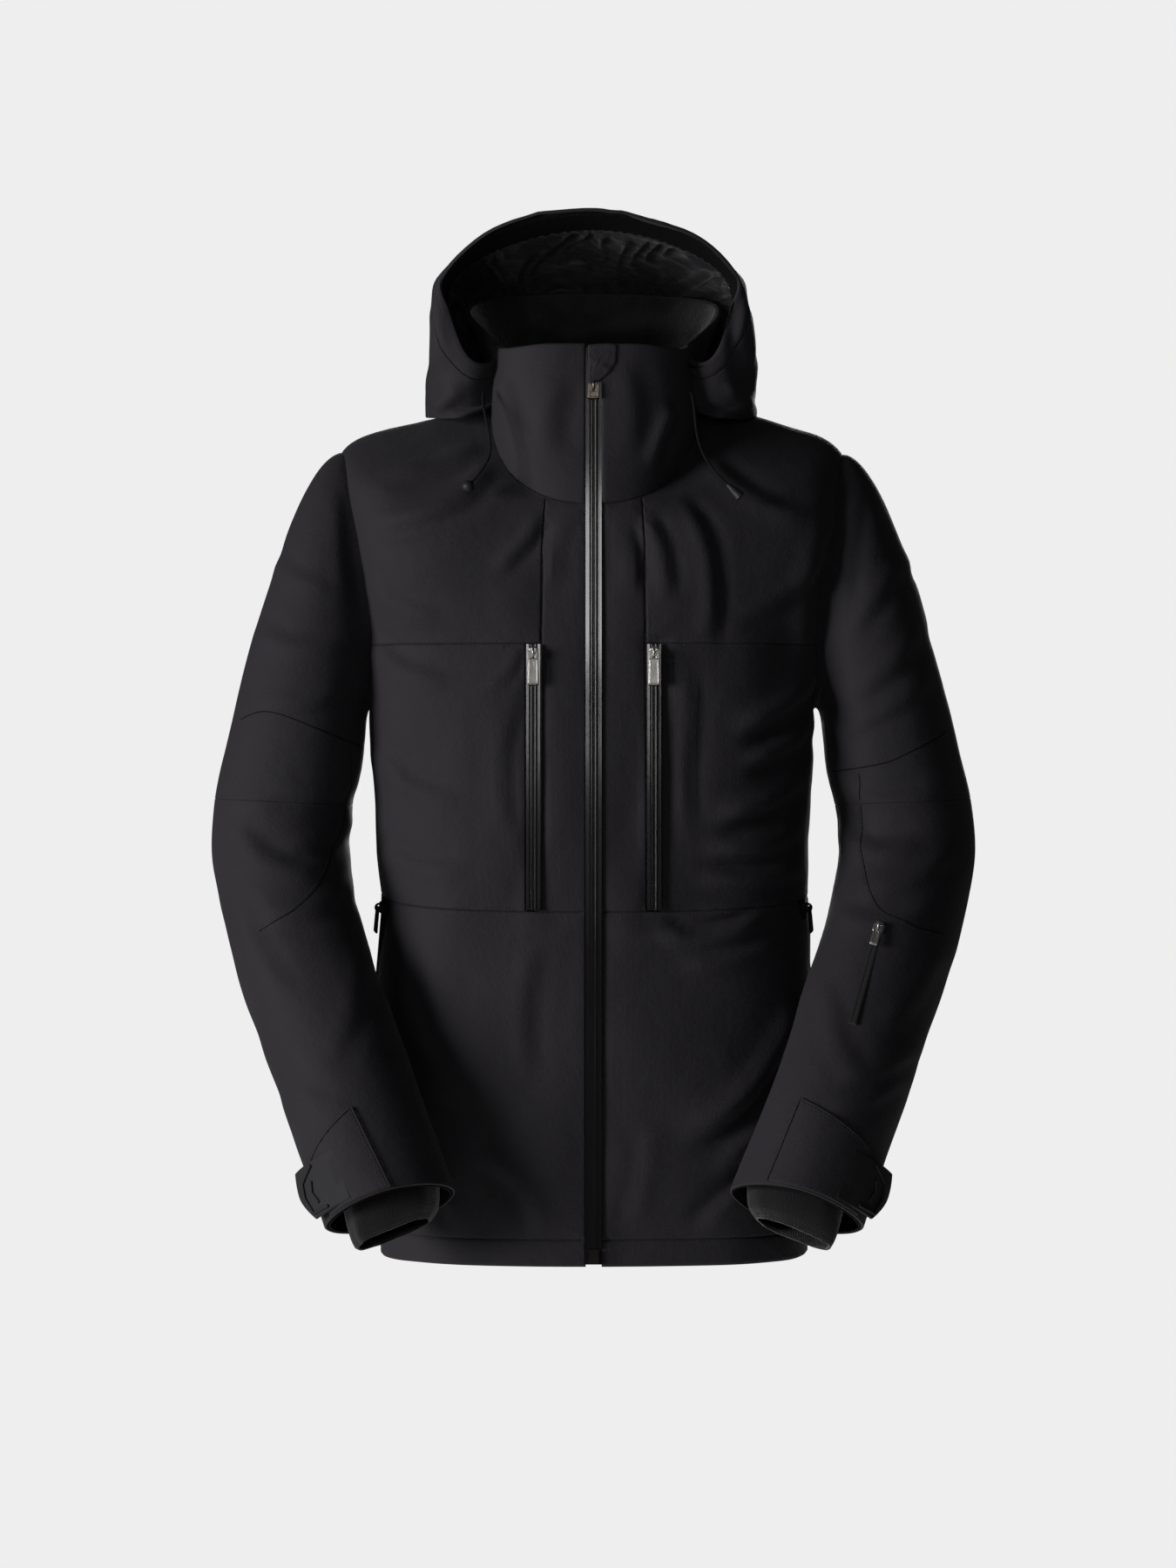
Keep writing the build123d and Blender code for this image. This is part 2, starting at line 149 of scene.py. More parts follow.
class Surface:
    """Smooth surface through a grid of points: rings one above another, read at (u, v).
    A closed surface repeats in u with period 1."""

    def __init__(self, v_knots, u_knots, rings, closed):
        rings = np.asarray(rings, float)
        u_knots = np.asarray(u_knots, float)
        self.closed = closed
        if closed:
            rings = np.concatenate([rings[:, -LAP:], rings, rings[:, :LAP]], axis=1)
            u_knots = np.r_[u_knots[-LAP:] - 1, u_knots, u_knots[:LAP] + 1]
        self.v_knots, self.u_knots, self.rings = np.asarray(v_knots, float), u_knots, rings
        self.folds = []
        self.calm = []
        self.wave_height = 1.0
        self.outward = 1.0

    def base(self, u, v):
        u, v = np.ravel(u), np.ravel(v)
        if self.closed:
            u = (u + 0.5) % 1.0 - 0.5
        weights_v = hermite_weights(self.v_knots, v)
        weights_u = hermite_weights(self.u_knots, u)
        rows = (weights_v @ self.rings.reshape(len(self.rings), -1)).reshape(len(v), -1, 3)
        return np.einsum("nic,ni->nc", rows, weights_u)

    def normal(self, u, v):
        u, v = np.ravel(u), np.ravel(v)
        e = 0.004
        low, high = self.v_knots[0], self.v_knots[-1]
        across = self.base(u + e, v) - self.base(u - e, v)
        along = self.base(u, np.minimum(v + e, high)) - self.base(u, np.maximum(v - e, low))
        return unit(np.cross(across, along)) * self.outward

    def point(self, u, v, lift=0.0):
        """Place on the finished cloth: the base, its folds and soft waves, and a lift off it."""
        p, n = self.base(u, v), self.normal(u, v)
        height = fold_height(p, n, self.folds) + self.wave_height * soft_waves(p)
        for calm in self.calm:
            height = height * calm(p)
        return p + n * (height + lift)[:, None], n

    def locate(self, x, z, guess):
        """(u, v) of the place that shows at x, z from the front, near a guess."""
        u, v = guess
        e = 0.002
        for _ in range(24):
            p = self.base([u, u + e, u], [v, v, v + e])[:, [0, 2]]
            jacobian = np.stack([(p[1] - p[0]) / e, (p[2] - p[0]) / e], axis=1)
            move = np.linalg.solve(jacobian + np.eye(2) * 1e-6, np.array([x, z]) - p[0])
            u += float(np.clip(move[0], -0.04, 0.04))
            v += float(np.clip(move[1], -0.06, 0.06))
        return u, v


def soft_waves(p):
    """Gentle unevenness of hanging cloth, the same every run."""
    rng = np.random.default_rng(11)
    total = np.zeros(len(p))
    for longest, shortest, height, count in ((320, 150, 1.6, 14), (110, 60, 0.7, 16), (45, 28, 0.12, 16)):
        for _ in range(count):
            direction = unit(rng.normal(size=3))
            length = rng.uniform(shortest, longest)
            phase = rng.uniform(0, 2 * math.pi)
            total += height / math.sqrt(count) * 1.4 * np.sin(p @ direction * 2 * math.pi / length + phase)
    return total


def folds(rows, side="front"):
    """Folds that run through points (x, z) as seen from the front or back: a ridge of that height with
    a valley on its left as it runs. A row may end with the share over which its fold rises."""
    return [{"path": smooth_path(points, 26), "width": width, "height": height * FOLD_GAIN,
             "start": more[0] if more else FOLD_START, "side": side} for points, width, height, *more in rows]


def fold_height(p, n, fold_list):
    """How far folds lift places p, whose normals are n."""
    total = np.zeros(len(p))
    flat = p[:, [0, 2]]
    for f in fold_list:
        path, w = f["path"], f["width"]
        low, high = path.min(axis=0) - 4 * w, path.max(axis=0) + 4 * w
        facing = -n[:, 1] if f["side"] == "front" else n[:, 1]
        near = np.all((flat > low) & (flat < high), axis=1) & (facing > -0.35)
        if not near.any():
            continue
        q = flat[near]
        a, b = path[:-1], path[1:]
        d = b - a
        t = np.clip(((q[:, None] - a) * d).sum(2) / (d * d).sum(1), 0, 1)
        away = q[:, None] - (a + t[..., None] * d)
        gap = np.linalg.norm(away, axis=2)
        k = gap.argmin(axis=1)
        rows = np.arange(len(q))
        side = np.sign(d[k, 0] * away[rows, k, 1] - d[k, 1] * away[rows, k, 0])
        x = gap[rows, k] * side
        along = (k + t[rows, k]) / len(d)
        fade = smooth_step(along / f["start"]) * smooth_step((1 - along) / FOLD_END)
        # the fold dies away past its ends
        over = np.where((along <= 0) | (along >= 1), gap[rows, k], 0)
        fade *= np.exp(-(over / w) ** 2)
        ridge = np.exp(-(x / w) ** 2) - FOLD_VALLEY * np.exp(-((x - 1.3 * w) / (0.8 * w)) ** 2)
        total[near] += f["height"] * ridge * fade * smooth_step((facing[near] + 0.35) / 0.5)
    return total


# ---------------------------------------------------------------- meshes
def add_object(name, data):
    made = bpy.data.objects.new(name, data)
    bpy.context.scene.collection.objects.link(made)
    return made


class Mesher:
    """Collects faces, their materials and a flat map in metres, then makes one piece."""

    def __init__(self):
        self.points, self.faces, self.kinds, self.maps = [], [], [], []
        self.count = 0

    def add(self, points, faces, kind=0, flat=None):
        points = np.asarray(points, float)
        faces = np.asarray(faces, int)
        if flat is None:
            flat = np.zeros((len(points), 2))
        self.points.append(points)
        self.maps.append(np.asarray(flat, float))
        self.faces.append(faces + self.count)
        self.kinds.append(np.full(len(faces), kind))
        self.count += len(points)

    def grid(self, p, kind=0, flat=None, flip=False, close_u=False):
        """Faces between rows of points, an array of rows, columns and 3."""
        rows, cols = p.shape[:2]
        index = np.arange(rows * cols).reshape(rows, cols)
        if close_u:
            index = np.concatenate([index, index[:, :1]], axis=1)
        quads = np.stack([index[:-1, :-1], index[:-1, 1:], index[1:, 1:], index[1:, :-1]], axis=-1)
        quads = quads.reshape(-1, 4)
        if flip:
            quads = quads[:, ::-1]
        self.add(p.reshape(-1, 3), quads, kind, None if flat is None else flat.reshape(-1, 2))

    def rim(self, outer, inner, flat, flip, kind=0, close_u=False):
        """Narrow band that closes a cloth's edge between its two faces."""
        self.grid(np.stack([outer, inner]), kind, np.stack([flat, flat]), flip=flip, close_u=close_u)

    def bar(self, rings, kind=0, flat=None, flip=False):
        """Faces round closed rings, and over both ends."""
        self.grid(rings, kind, flat, flip, close_u=True)
        cap = np.arange(rings.shape[1])[None]
        for end, turned in ((0, not flip), (-1, flip)):
            self.add(rings[end], cap[:, ::-1] if turned else cap, kind)

    def make(self, name, materials):
        points = np.concatenate(self.points) * MM
        flats = np.concatenate(self.maps) * MM
        mesh = bpy.data.meshes.new(name)
        faces = [row for block in self.faces for row in block.tolist()]
        mesh.from_pydata(points.tolist(), [], faces)
        mesh.polygons.foreach_set("material_index", np.concatenate(self.kinds).astype(np.int32))
        mesh.polygons.foreach_set("use_smooth", np.full(len(faces), True))
        corner = np.empty(len(mesh.loops), np.int32)
        mesh.loops.foreach_get("vertex_index", corner)
        layer = mesh.uv_layers.new(name="cloth")
        layer.data.foreach_set("uv", flats[corner].ravel())
        mesh.validate(clean_customdata=False)
        mesh.update()
        for finish in materials:
            mesh.materials.append(finish)
        return add_object(name, mesh)


def hand_over(mesher, name, materials, body_name, slot, *replaced):
    """Make one piece, hang it on what it rides, and hide the frame's pieces that it stands for. slot is not
    used.
    """
    piece = mesher.make(name, materials)
    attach(piece, body_name)
    if replaced:
        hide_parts(*replaced)
    return piece


def steps(length, step):
    """Shares from 0 to 1 over a length, with close steps near both ends where the cloth rolls over."""
    near = np.array([0.0, 0.5, 1.1, 1.9, 3.0, 4.6, 7.0, 10.0])
    if length < 3 * near[-1]:
        return np.linspace(0, 1, max(4, int(length / 1.6)))
    middle = np.linspace(near[-1], length - near[-1], max(2, int((length - 2 * near[-1]) / step)))
    return np.r_[near[:-1], middle, (length - near[:-1])[::-1]] / length


def stitch_row(mesher, path, normals, kind):
    """Short threads laid one after another along a path on the cloth."""
    run = run_along(path)
    starts = np.arange(STITCH_PITCH / 2, run[-1] - STITCH, STITCH_PITCH)
    if len(starts) == 0:
        return
    at = np.stack([starts, starts + STITCH / 2, starts + STITCH], axis=1).ravel()
    p = read_at(at, run, path).reshape(-1, 3, 3)
    up = read_at(at, run, normals).reshape(-1, 3, 3)[:, 1]
    across = unit(np.cross(unit(p[:, 2] - p[:, 0]), up))
    mid = p[:, 1]
    ring = np.stack([mid + across * THREAD_HALF, mid + up * THREAD_TALL,
                     mid - across * THREAD_HALF, mid - up * 0.1], axis=1)
    points = np.concatenate([p[:, :1], ring, p[:, 2:]], axis=1)
    tris = np.array([[0, 1, 2], [0, 2, 3], [0, 3, 4], [0, 4, 1], [5, 2, 1], [5, 3, 2], [5, 4, 3], [5, 1, 4]])
    faces = (np.arange(len(points))[:, None, None] * 6 + tris).reshape(-1, 3)
    mesher.add(points.reshape(-1, 3), faces, kind)


def tube(mesher, path, radius, normals, kind=0, sides=8, squash=1.0):
    """Round bar along a path that lies on cloth or metal with those normals."""
    tangent = unit(np.gradient(path, axis=0))
    side = unit(np.cross(tangent, normals))
    lift = np.cross(side, tangent)
    angle = np.arange(sides)[:, None] / sides * 2 * math.pi
    across = side[:, None] * np.cos(angle) + lift[:, None] * np.sin(angle) * squash
    mesher.bar(path[:, None] + across * radius, kind)


def panel(mesher, surface, left=None, right=None, bottom=None, top=None, step=5.0, thickness=CLOTH,
          lift=0.0, crown=0.0, roll=1.5, dip=0.7, stitches=None, kinds=(0, 1), pucker=0.25, open_edges=(),
          corners=None):
    """A cloth panel with two faces and rolled edges. left and right are its u, as a number or over the
    share b up the panel; bottom and top are its v, or v over the share a across it. stitches names an
    edge and the distances from it at which rows of thread run. open_edges aren't drawn down, because no
    seam holds them. corners, four (u, v) places from the left bottom round, replace the four edges."""
    def edge(line, share):
        return line(share) if callable(line) else np.full(np.shape(share), float(line))

    def place(a, b):
        if corners is not None:
            c = np.asarray(corners, float)[..., None]
            return (1 - b) * ((1 - a) * c[0] + a * c[1]) + b * ((1 - a) * c[3] + a * c[2])
        return (1 - a) * edge(left, b) + a * edge(right, b), (1 - b) * edge(bottom, a) + b * edge(top, a)

    shares, mid = np.linspace(0, 1, 15), np.full(15, 0.5)
    width = run_along(surface.base(*place(shares, mid)))[-1]
    tall = run_along(surface.base(*place(mid, shares)))[-1]
    a, b = np.meshgrid(steps(width, step), steps(tall, step))
    shape = a.shape
    u, v = place(a.ravel(), b.ravel())
    base = surface.base(u, v).reshape(*shape, 3)
    # distances to the edges, measured along the cloth
    along_a, along_b = run_along(base, 1), run_along(base)
    edges = {"left": along_a, "right": along_a[:, -1:] - along_a,
             "bottom": along_b, "top": along_b[-1:] - along_b}
    drawn = np.full(shape, 1e3)
    nearest = np.full(shape, 1e3)
    for name, distance in edges.items():
        nearest = np.minimum(nearest, distance)
        if name not in open_edges:
            drawn = np.minimum(drawn, distance)
    gap = np.clip(1 - nearest / roll, 0, 1)
    height = -roll * 0.85 * (1 - np.sqrt(1 - gap**2))
    height = height - dip * np.exp(-drawn / 5.0)
    height = height + pucker * np.sin(along_a * 0.61 + along_b * 0.53) * np.exp(-drawn / 7.0)
    height = height + crown * smooth_step(drawn / 30.0)
    outer, n = surface.point(u, v, height.ravel() + lift)
    outer, n = outer.reshape(*shape, 3), n.reshape(*shape, 3)
    inner = outer - n * (thickness + height[..., None] * 0.5)
    flat = np.stack([along_a, along_b], axis=-1)
    turned = surface.outward < 0
    mesher.grid(outer, kinds[0], flat, flip=turned)
    mesher.grid(inner, kinds[0], flat, flip=not turned)
    around = [np.concatenate([rows[0, :-1], rows[:-1, -1], rows[-1, :0:-1], rows[:0:-1, 0]])
              for rows in (outer, inner, flat)]
    mesher.rim(*around, not turned, kinds[0], close_u=True)
    for name, distances in (stitches or {}).items():
        upwards = name in ("left", "right")
        for distance in distances:
            s = np.linspace(0.002, 0.998, int((tall if upwards else width) / 4) + 2)
            share = distance / (width if upwards else tall)
            beside = np.full(len(s), share if name in ("left", "bottom") else 1 - share)
            drop = -dip * math.exp(-distance / 5.0) - 0.05
            path, normals = surface.point(*(place(beside, s) if upwards else place(s, beside)), lift + drop)
            stitch_row(mesher, path, normals, kinds[1])


def seam_line(mesher, surface, uv, kind, width=0.55, lift=0.05):
    """Narrow near-black line where two cloths meet, painted shade of the seam's groove, with a row of thread
    beside it.
    """
    uv = np.asarray(uv, float)
    count = max(12, int(run_along(surface.base(*uv.T))[-1] / 5))
    uv = smooth_path(uv, count) if len(uv) > 2 else np.linspace(uv[0], uv[1], count)
    path, n = surface.point(*uv.T, lift)
    tube(mesher, path, width, n, kind, sides=6, squash=0.5)
    side = unit(np.cross(np.gradient(path, axis=0), n))
    stitch_row(mesher, path + side * SEAM_TO_THREAD + n * 0.1, n, 1)


# ---------------------------------------------------------------- the body's surface
HALF_U = [0.0, 0.08, 0.15, 0.2, 0.25, 0.3, 0.36, 0.43, 0.5]
ROUND_U = np.r_[-0.5, -np.array(HALF_U[-2:0:-1]), HALF_U[:-1]]
BODY_BULGE = 2.6        # 2 is an ellipse, and more is squarer
BODY_MIDDLE_Y = -84.0


def level_ring(z, half_width, back):
    """Outline of the body at one height: flat at the front, round at the sides and back."""
    angle = np.asarray(HALF_U) * 2 * math.pi
    x = half_width * signed_power(np.sin(angle), 2 / BODY_BULGE)
    depth = np.where(np.cos(angle) > 0, BODY_MIDDLE_Y - front_y(z), back - BODY_MIDDLE_Y)
    y = BODY_MIDDLE_Y - depth * signed_power(np.cos(angle), 2 / BODY_BULGE)
    return np.stack([x, y, np.full(len(x), float(z))], axis=1)


def body_ring(half):
    """Whole ring from half of one: from the back's middle round by the right side."""
    half = np.asarray(half, float)
    return np.concatenate([half[::-1] * (-1, 1, 1), half[1:-1]])


CHEST_RING = [(0, -179.5, -140), (88, -177, -140), (172, -162, -134), (210, -134, -118), (229, -78, -88),
              (214, -28, -92), (165, 12, -100), (88, 36, -104), (0, 42, -106)]
SHOULDER_RING = [(0, -178.5, -118), (85, -175, -112), (165, -158, -88), (208, -126, -58), (229, -78, -30),
                 (212, -32, -34), (160, 6, -38), (85, 28, -42), (0, 34, -42)]
MIDDLE_RING = [(0, -177.5, -98), (60, -173, -92), (112, -152, -66), (142, -118, -30), (158, -78, -2),
               (146, -38, -4), (112, -4, -10), (60, 16, -16), (0, 22, -16)]
NECK_RING = [(0, -177, -86), (42, -170, -80), (72, -148, -60), (88, -122, -30), (94, -82, 6),
             (88, -46, 10), (72, -16, 6), (40, 2, 0), (0, 8, -2)]
V_HEM, V_WAIST, V_YOKE, V_NECK = 0.0, 0.314, 0.554, 0.80
V_HEM_SEAM = 0.024
NECK_LAP = 0.004         # how far the panels reach up behind the collar
SIDE_U = 0.262           # of the side seams
body = Surface(
    [V_HEM, 0.16, V_WAIST, 0.475, V_YOKE, 0.63, 0.68, 0.75, V_NECK],
    ROUND_U,
    [body_ring(r) for r in (
        level_ring(HEM_Z, 197, 49), level_ring(-606, 198, 47), level_ring(-451, 197, 45),
        level_ring(-290, 203, 49), level_ring(-211, 208, 46),
        CHEST_RING, SHOULDER_RING, MIDDLE_RING, NECK_RING)],
    closed=True)


def u_at(surface, x, v, low, high):
    """u of the places at that x on each height v, between two values of u."""
    v = np.asarray(v, float)
    low, high = np.full(v.shape, float(low)), np.full(v.shape, float(high))
    rising = surface.base(high, v)[:, 0] > surface.base(low, v)[:, 0]
    for _ in range(26):
        mid = (low + high) / 2
        past = (surface.base(mid, v)[:, 0] > x) == rising
        high = np.where(past, mid, high)
        low = np.where(past, low, mid)
    return (low + high) / 2


def upright(surface, x, v_low, v_high, top_x=None):
    """Boundary at that x from the front, from one height to another; top_x lets it lean."""
    v = np.linspace(v_low, v_high, 60)
    shift = 0 if top_x is None else np.linspace(0, top_x - x, 60)
    side = (0.0, 0.24) if x > 0 else (-0.24, 0.0)
    u = u_at(surface, x + shift, v, *side)
    return lambda share: np.interp(share, np.linspace(0, 1, 60), u)


# Folds that the photo shows, x to the picture's right. A fold's valley lies on its left as it runs.
body.folds = folds([
    # under the collar, either side of the zip
    ([(-24, -96), (-34, -130), (-38, -165)], 7, 1.3),
    ([(-46, -90), (-62, -118), (-92, -150)], 8, 1.6),
    ([(22, -98), (34, -135), (36, -172)], 7, 1.5),
    ([(44, -92), (60, -128), (66, -180)], 8, 1.8),
    ([(70, -76), (96, -116), (104, -170), (98, -226)], 9, 2.2),
    # the right shoulder and yoke
    ([(-88, -42), (-118, -78), (-168, -98), (-214, -100)], 10, 2.0),
    ([(-98, -30), (-142, -50), (-196, -58)], 9, 1.6),
    ([(-210, -150), (-176, -176), (-130, -192)], 9, 1.4),
    ([(-214, -196), (-178, -232), (-120, -252)], 10, 1.4),
    # the left shoulder, chest and side
    ([(92, -34), (122, -66), (168, -92), (208, -96)], 10, 2.0),
    ([(210, -84), (196, -130), (190, -190), (196, -240)], 11, 2.4),
    ([(206, -128), (166, -170), (120, -186)], 9, 1.6),
    ([(74, -216), (84, -262), (80, -330), (84, -396)], 8, 1.8),
    ([(208, -226), (176, -262), (120, -292)], 11, 4.4, 0.55),
    ([(204, -274), (172, -304), (128, -318)], 9, 3.8, 0.55),
    ([(200, -322), (160, -352), (100, -368)], 10, 4.6, 0.55),
    ([(198, -366), (160, -392), (92, -396)], 9, 4.0, 0.55),
    ([(194, -410), (152, -424), (86, -420)], 9, 2.2),
    # beside the chest zips' tops, and the right chest
    ([(-64, -216), (-76, -236), (-98, -258)], 6, 1.2),
    ([(-74, -262), (-84, -320), (-78, -392)], 9, 1.2),
    ([(-204, -300), (-166, -340), (-116, -356)], 10, 1.4),
    ([(-200, -392), (-160, -412), (-110, -414)], 9, 1.2),
    # below the waist seam
    ([(46, -462), (92, -476), (160, -458)], 8, 3.4),
    ([(70, -498), (120, -494), (180, -474)], 9, 2.2),
    ([(186, -520), (160, -580), (124, -624), (70, -652)], 13, 4.6),
    ([(184, -590), (152, -640), (104, -690)], 12, 3.4),
    ([(88, -738), (126, -706), (170, -662)], 10, 2.6),
    ([(30, -740), (46, -690), (50, -628)], 9, 1.2),
    ([(-176, -478), (-166, -540), (-136, -600), (-98, -634)], 12, 2.2),
    ([(-186, -560), (-164, -640), (-138, -700)], 11, 2.0),
    ([(-52, -470), (-64, -540), (-58, -610)], 10, 1.2),
    ([(-44, -742), (-60, -700), (-98, -660)], 9, 1.6),
    ([(-120, -744), (-128, -708), (-160, -676)], 9, 1.5),
]) + folds([
    ([(-70, -60), (-96, -150), (-92, -250)], 14, 2.0),
    ([(66, -66), (90, -160), (100, -262)], 14, 2.0),
    ([(-190, -250), (-120, -300), (-30, -316)], 14, 2.0),
    ([(190, -240), (130, -300), (40, -330)], 14, 2.0),
    ([(-180, -430), (-90, -456), (0, -448), (96, -462)], 12, 2.2),
    ([(176, -420), (110, -446), (30, -440)], 11, 1.8),
    ([(-120, -740), (-96, -640), (-110, -540)], 15, 2.4),
    ([(110, -742), (122, -640), (92, -550)], 15, 2.4),
    ([(0, -742), (10, -660), (-8, -590)], 14, 1.8),
], "back")


def calm_near_zips(p):
    """Folds and waves fade next to the front zips, which hold the cloth flat."""
    main = smooth_step((np.abs(p[:, 0]) - 6) / 22.0)
    chest = smooth_step((np.abs(np.abs(p[:, 0]) - CHEST_ZIP_X) - 6) / 12.0)
    beside = (p[:, 2] > -470) & (p[:, 2] < -205)
    return np.where(p[:, 1] < -90, main * np.where(beside, chest, 1.0), 1.0)


body.calm = [calm_near_zips]


# ---------------------------------------------------------------- materials
def put(node, **values):
    """Set a node's inputs by name; an underscore stands for a space."""
    for name, value in values.items():
        node.inputs[name.replace("_", " ")].default_value = value


def material(name, colour, roughness, bumps=(), weave=None, sheen=0.0, metallic=0.0, variation=0.12,
             specular=0.5, patch=9.0, spread=0.06):
    """Procedural finish. bumps are (grains per metre, depth in metres); weave is threads' pitch in
    metres and their depth. variation is how far the colour drifts, and spread how far the roughness."""
    made = bpy.data.materials.new(name)
    made.use_nodes = True
    nodes, links = made.node_tree.nodes, made.node_tree.links
    shader = nodes["Principled BSDF"]
    put(shader, Metallic=metallic, Specular_IOR_Level=specular, Sheen_Weight=sheen, Sheen_Roughness=0.45)
    place = nodes.new("ShaderNodeTexCoord")
    drift = nodes.new("ShaderNodeTexNoise")
    put(drift, Scale=patch, Detail=4.0)
    links.new(place.outputs["Object"], drift.inputs["Vector"])
    ramp = nodes.new("ShaderNodeValToRGB")
    for stop, position, share in zip(ramp.color_ramp.elements, (0.3, 0.7), (1 - variation, 1 + variation)):
        stop.position = position
        stop.color = tuple(min(1, c * share) for c in colour) + (1,)
    links.new(drift.outputs["Fac"], ramp.inputs["Fac"])
    links.new(ramp.outputs["Color"], shader.inputs["Base Color"])
    rough = nodes.new("ShaderNodeMapRange")
    put(rough, To_Min=max(0.03, roughness - spread), To_Max=min(1.0, roughness + spread))
    links.new(drift.outputs["Fac"], rough.inputs["Value"])
    links.new(rough.outputs["Result"], shader.inputs["Roughness"])
    heights = []
    if weave:
        for axis in ("X", "Y"):
            wave = nodes.new("ShaderNodeTexWave")
            wave.bands_direction = axis
            put(wave, Scale=2 * math.pi / 20 / weave[0], Distortion=0.6, Detail_Scale=2.0)
            links.new(place.outputs["UV"], wave.inputs["Vector"])
            heights.append((wave, weave[1], 0.6))
    for grains, depth in bumps:
        noise = nodes.new("ShaderNodeTexNoise")
        put(noise, Scale=grains, Detail=3.0)
        links.new(place.outputs["Object"], noise.inputs["Vector"])
        heights.append((noise, depth, 1.0))
    normal = None
    for texture, depth, strength in heights:
        bump = nodes.new("ShaderNodeBump")
        put(bump, Distance=depth, Strength=strength)
        links.new(texture.outputs["Fac"], bump.inputs["Height"])
        if normal:
            links.new(normal, bump.inputs["Normal"])
        normal = bump.outputs["Normal"]
    if normal:
        links.new(normal, shader.inputs["Normal"])
    return made


METAL = dict(metallic=1.0, patch=60)
SHELL = material("shell", (0.0222, 0.0193, 0.0238), 0.74, bumps=((420, 0.0003), (70, 0.0008)),
                 weave=(0.0009, 0.00010), sheen=0.05, variation=0.10, specular=0.28)
THREAD = material("thread", (0.015, 0.0135, 0.0155), 0.62, bumps=((1500, 0.0002),), sheen=0.15)
# seam lines: near-black, painted shade in the grooves between panels; the hand zips reuse it as a matte
# finish
GROOVE_SHADE = material("seam", (0.006, 0.0055, 0.0065), 0.9, bumps=((900, 0.0002),), specular=0.15)
LINING = material("lining", (0.014, 0.0125, 0.015), 0.30, bumps=((260, 0.0004), (55, 0.0030)),
                  weave=(0.0007, 0.00006), sheen=0.1, specular=0.6, variation=0.15)
FLEECE = material("fleece", (0.026, 0.0245, 0.027), 0.95, bumps=((700, 0.0012), (160, 0.0012)), sheen=0.5,
                  specular=0.12, variation=0.45, patch=26)
# gaiter knit: a dark knit, darkened further as painted shade for the gaiters that hang in shadow at the cuffs
KNIT_SHADED = material("knit", (0.0095, 0.0088, 0.0099), 0.88, bumps=((600, 0.0004),), weave=(0.0016, 0.0003),
                sheen=0.3, specular=0.2)
LAMINATE = material("zip_laminate", (0.0085, 0.0078, 0.0088), 0.13, bumps=((90, 0.00002),), specular=0.5,
                    variation=0.2, spread=0.03)
STEEL = material("pull_metal", (0.60, 0.58, 0.55), 0.38, bumps=((500, 0.0001), (60, 0.0004)), **METAL,
                 variation=0.15, spread=0.1)
DARK_METAL = material("main_pull_metal", (0.22, 0.19, 0.16), 0.40, bumps=((500, 0.0001), (80, 0.0004)),
                      **METAL, variation=0.2, spread=0.1)
BOX_METAL = material("box_metal", (0.028, 0.025, 0.022), 0.55, bumps=((500, 0.0001), (80, 0.0004)),
                     **METAL, variation=0.2)
RUBBER = material("rubber", (0.014, 0.0135, 0.0145), 0.55, bumps=((700, 0.0002), (120, 0.0004)),
                  specular=0.45)
TAB = material("tab_rubber", (0.019, 0.0172, 0.0195), 0.70, bumps=((700, 0.0002), (150, 0.0003)),
               specular=0.3)
# facings, far darker than the shell: painted shade inside the cuffs' mouths and under the hood's brim
FACING_SHADE = material("facing", (0.0042, 0.0038, 0.0045), 0.9, bumps=((420, 0.0003), (70, 0.0006)),
                  weave=(0.0009, 0.00008), specular=0.12)
PLASTIC = material("plastic", (0.012, 0.0115, 0.0125), 0.45, bumps=((400, 0.0001), (90, 0.0004)))
CORD = material("cord", (0.009, 0.0083, 0.0093), 0.8, bumps=((2600, 0.0006), (400, 0.0004)), specular=0.2)
LOOP = material("loop_tape", (0.015, 0.014, 0.016), 0.8, bumps=((1200, 0.0004), (300, 0.0003)), sheen=0.2)


# ---------------------------------------------------------------- the torso's panels
def waist(u_left, u_right):
    """Height of the waist seam across a panel, which rises a little towards the sides."""
    return lambda share: V_WAIST + 0.22 * (u_left + share * (u_right - u_left)) ** 2


def torso_side(side, name):
    """The front panels of one side: -1 is the wearer's right, to the picture's left."""
    def add(piece, inner_x, v0, v1, bottom, top, outer=side * SIDE_U, inner_top_x=None, **more):
        inner = upright(body, inner_x * side, v0, v1, inner_top_x)
        left, right = (outer, inner) if side < 0 else (inner, outer)
        if side < 0:
            swap = {"left": "right", "right": "left"}
            more["stitches"] = {swap.get(k, k): d for k, d in more["stitches"].items()}
        mesher = Mesher()
        panel(mesher, body, left, right, bottom, top, **more)
        hand_over(mesher, "cloth_" + piece + name, [SHELL, THREAD], "torso", "shell_fabric", piece + name)

    rises = waist(*sorted((0.0, SIDE_U * side)))
    rises_outside_zip = waist(*sorted((0.036 * side, SIDE_U * side)))
    chest_inner = CHEST_ZIP_X - CHEST_SLOT
    chest_outer = CHEST_ZIP_X + CHEST_SLOT
    add("lower_front_", PLACKET, V_HEM_SEAM, V_WAIST, V_HEM_SEAM, rises,
        stitches={"left": (6.0,), "bottom": (2.0, 8.0), "top": (2.2,)}, crown=1.5)
    add("centre_panel_", PLACKET, V_WAIST, V_NECK, V_WAIST, V_NECK + NECK_LAP,
        outer=upright(body, chest_inner * side, V_WAIST, V_NECK, YOKE_TOP_X * side),
        stitches={"left": (6.0,), "bottom": (2.2,)}, crown=0.6)
    add("chest_panel_", chest_outer, V_WAIST, V_YOKE, rises_outside_zip, V_YOKE,
        stitches={"left": (10.0, 12.5), "bottom": (2.2,), "top": (2.2,)}, crown=1.0)
    add("front_yoke_", chest_inner, V_YOKE, V_NECK, V_YOKE, V_NECK + NECK_LAP, inner_top_x=YOKE_TOP_X * side,
        stitches={"left": (2.2,), "bottom": (2.4, 9.0)}, crown=1.6)


for side, name in SIDES:
    torso_side(side, name)


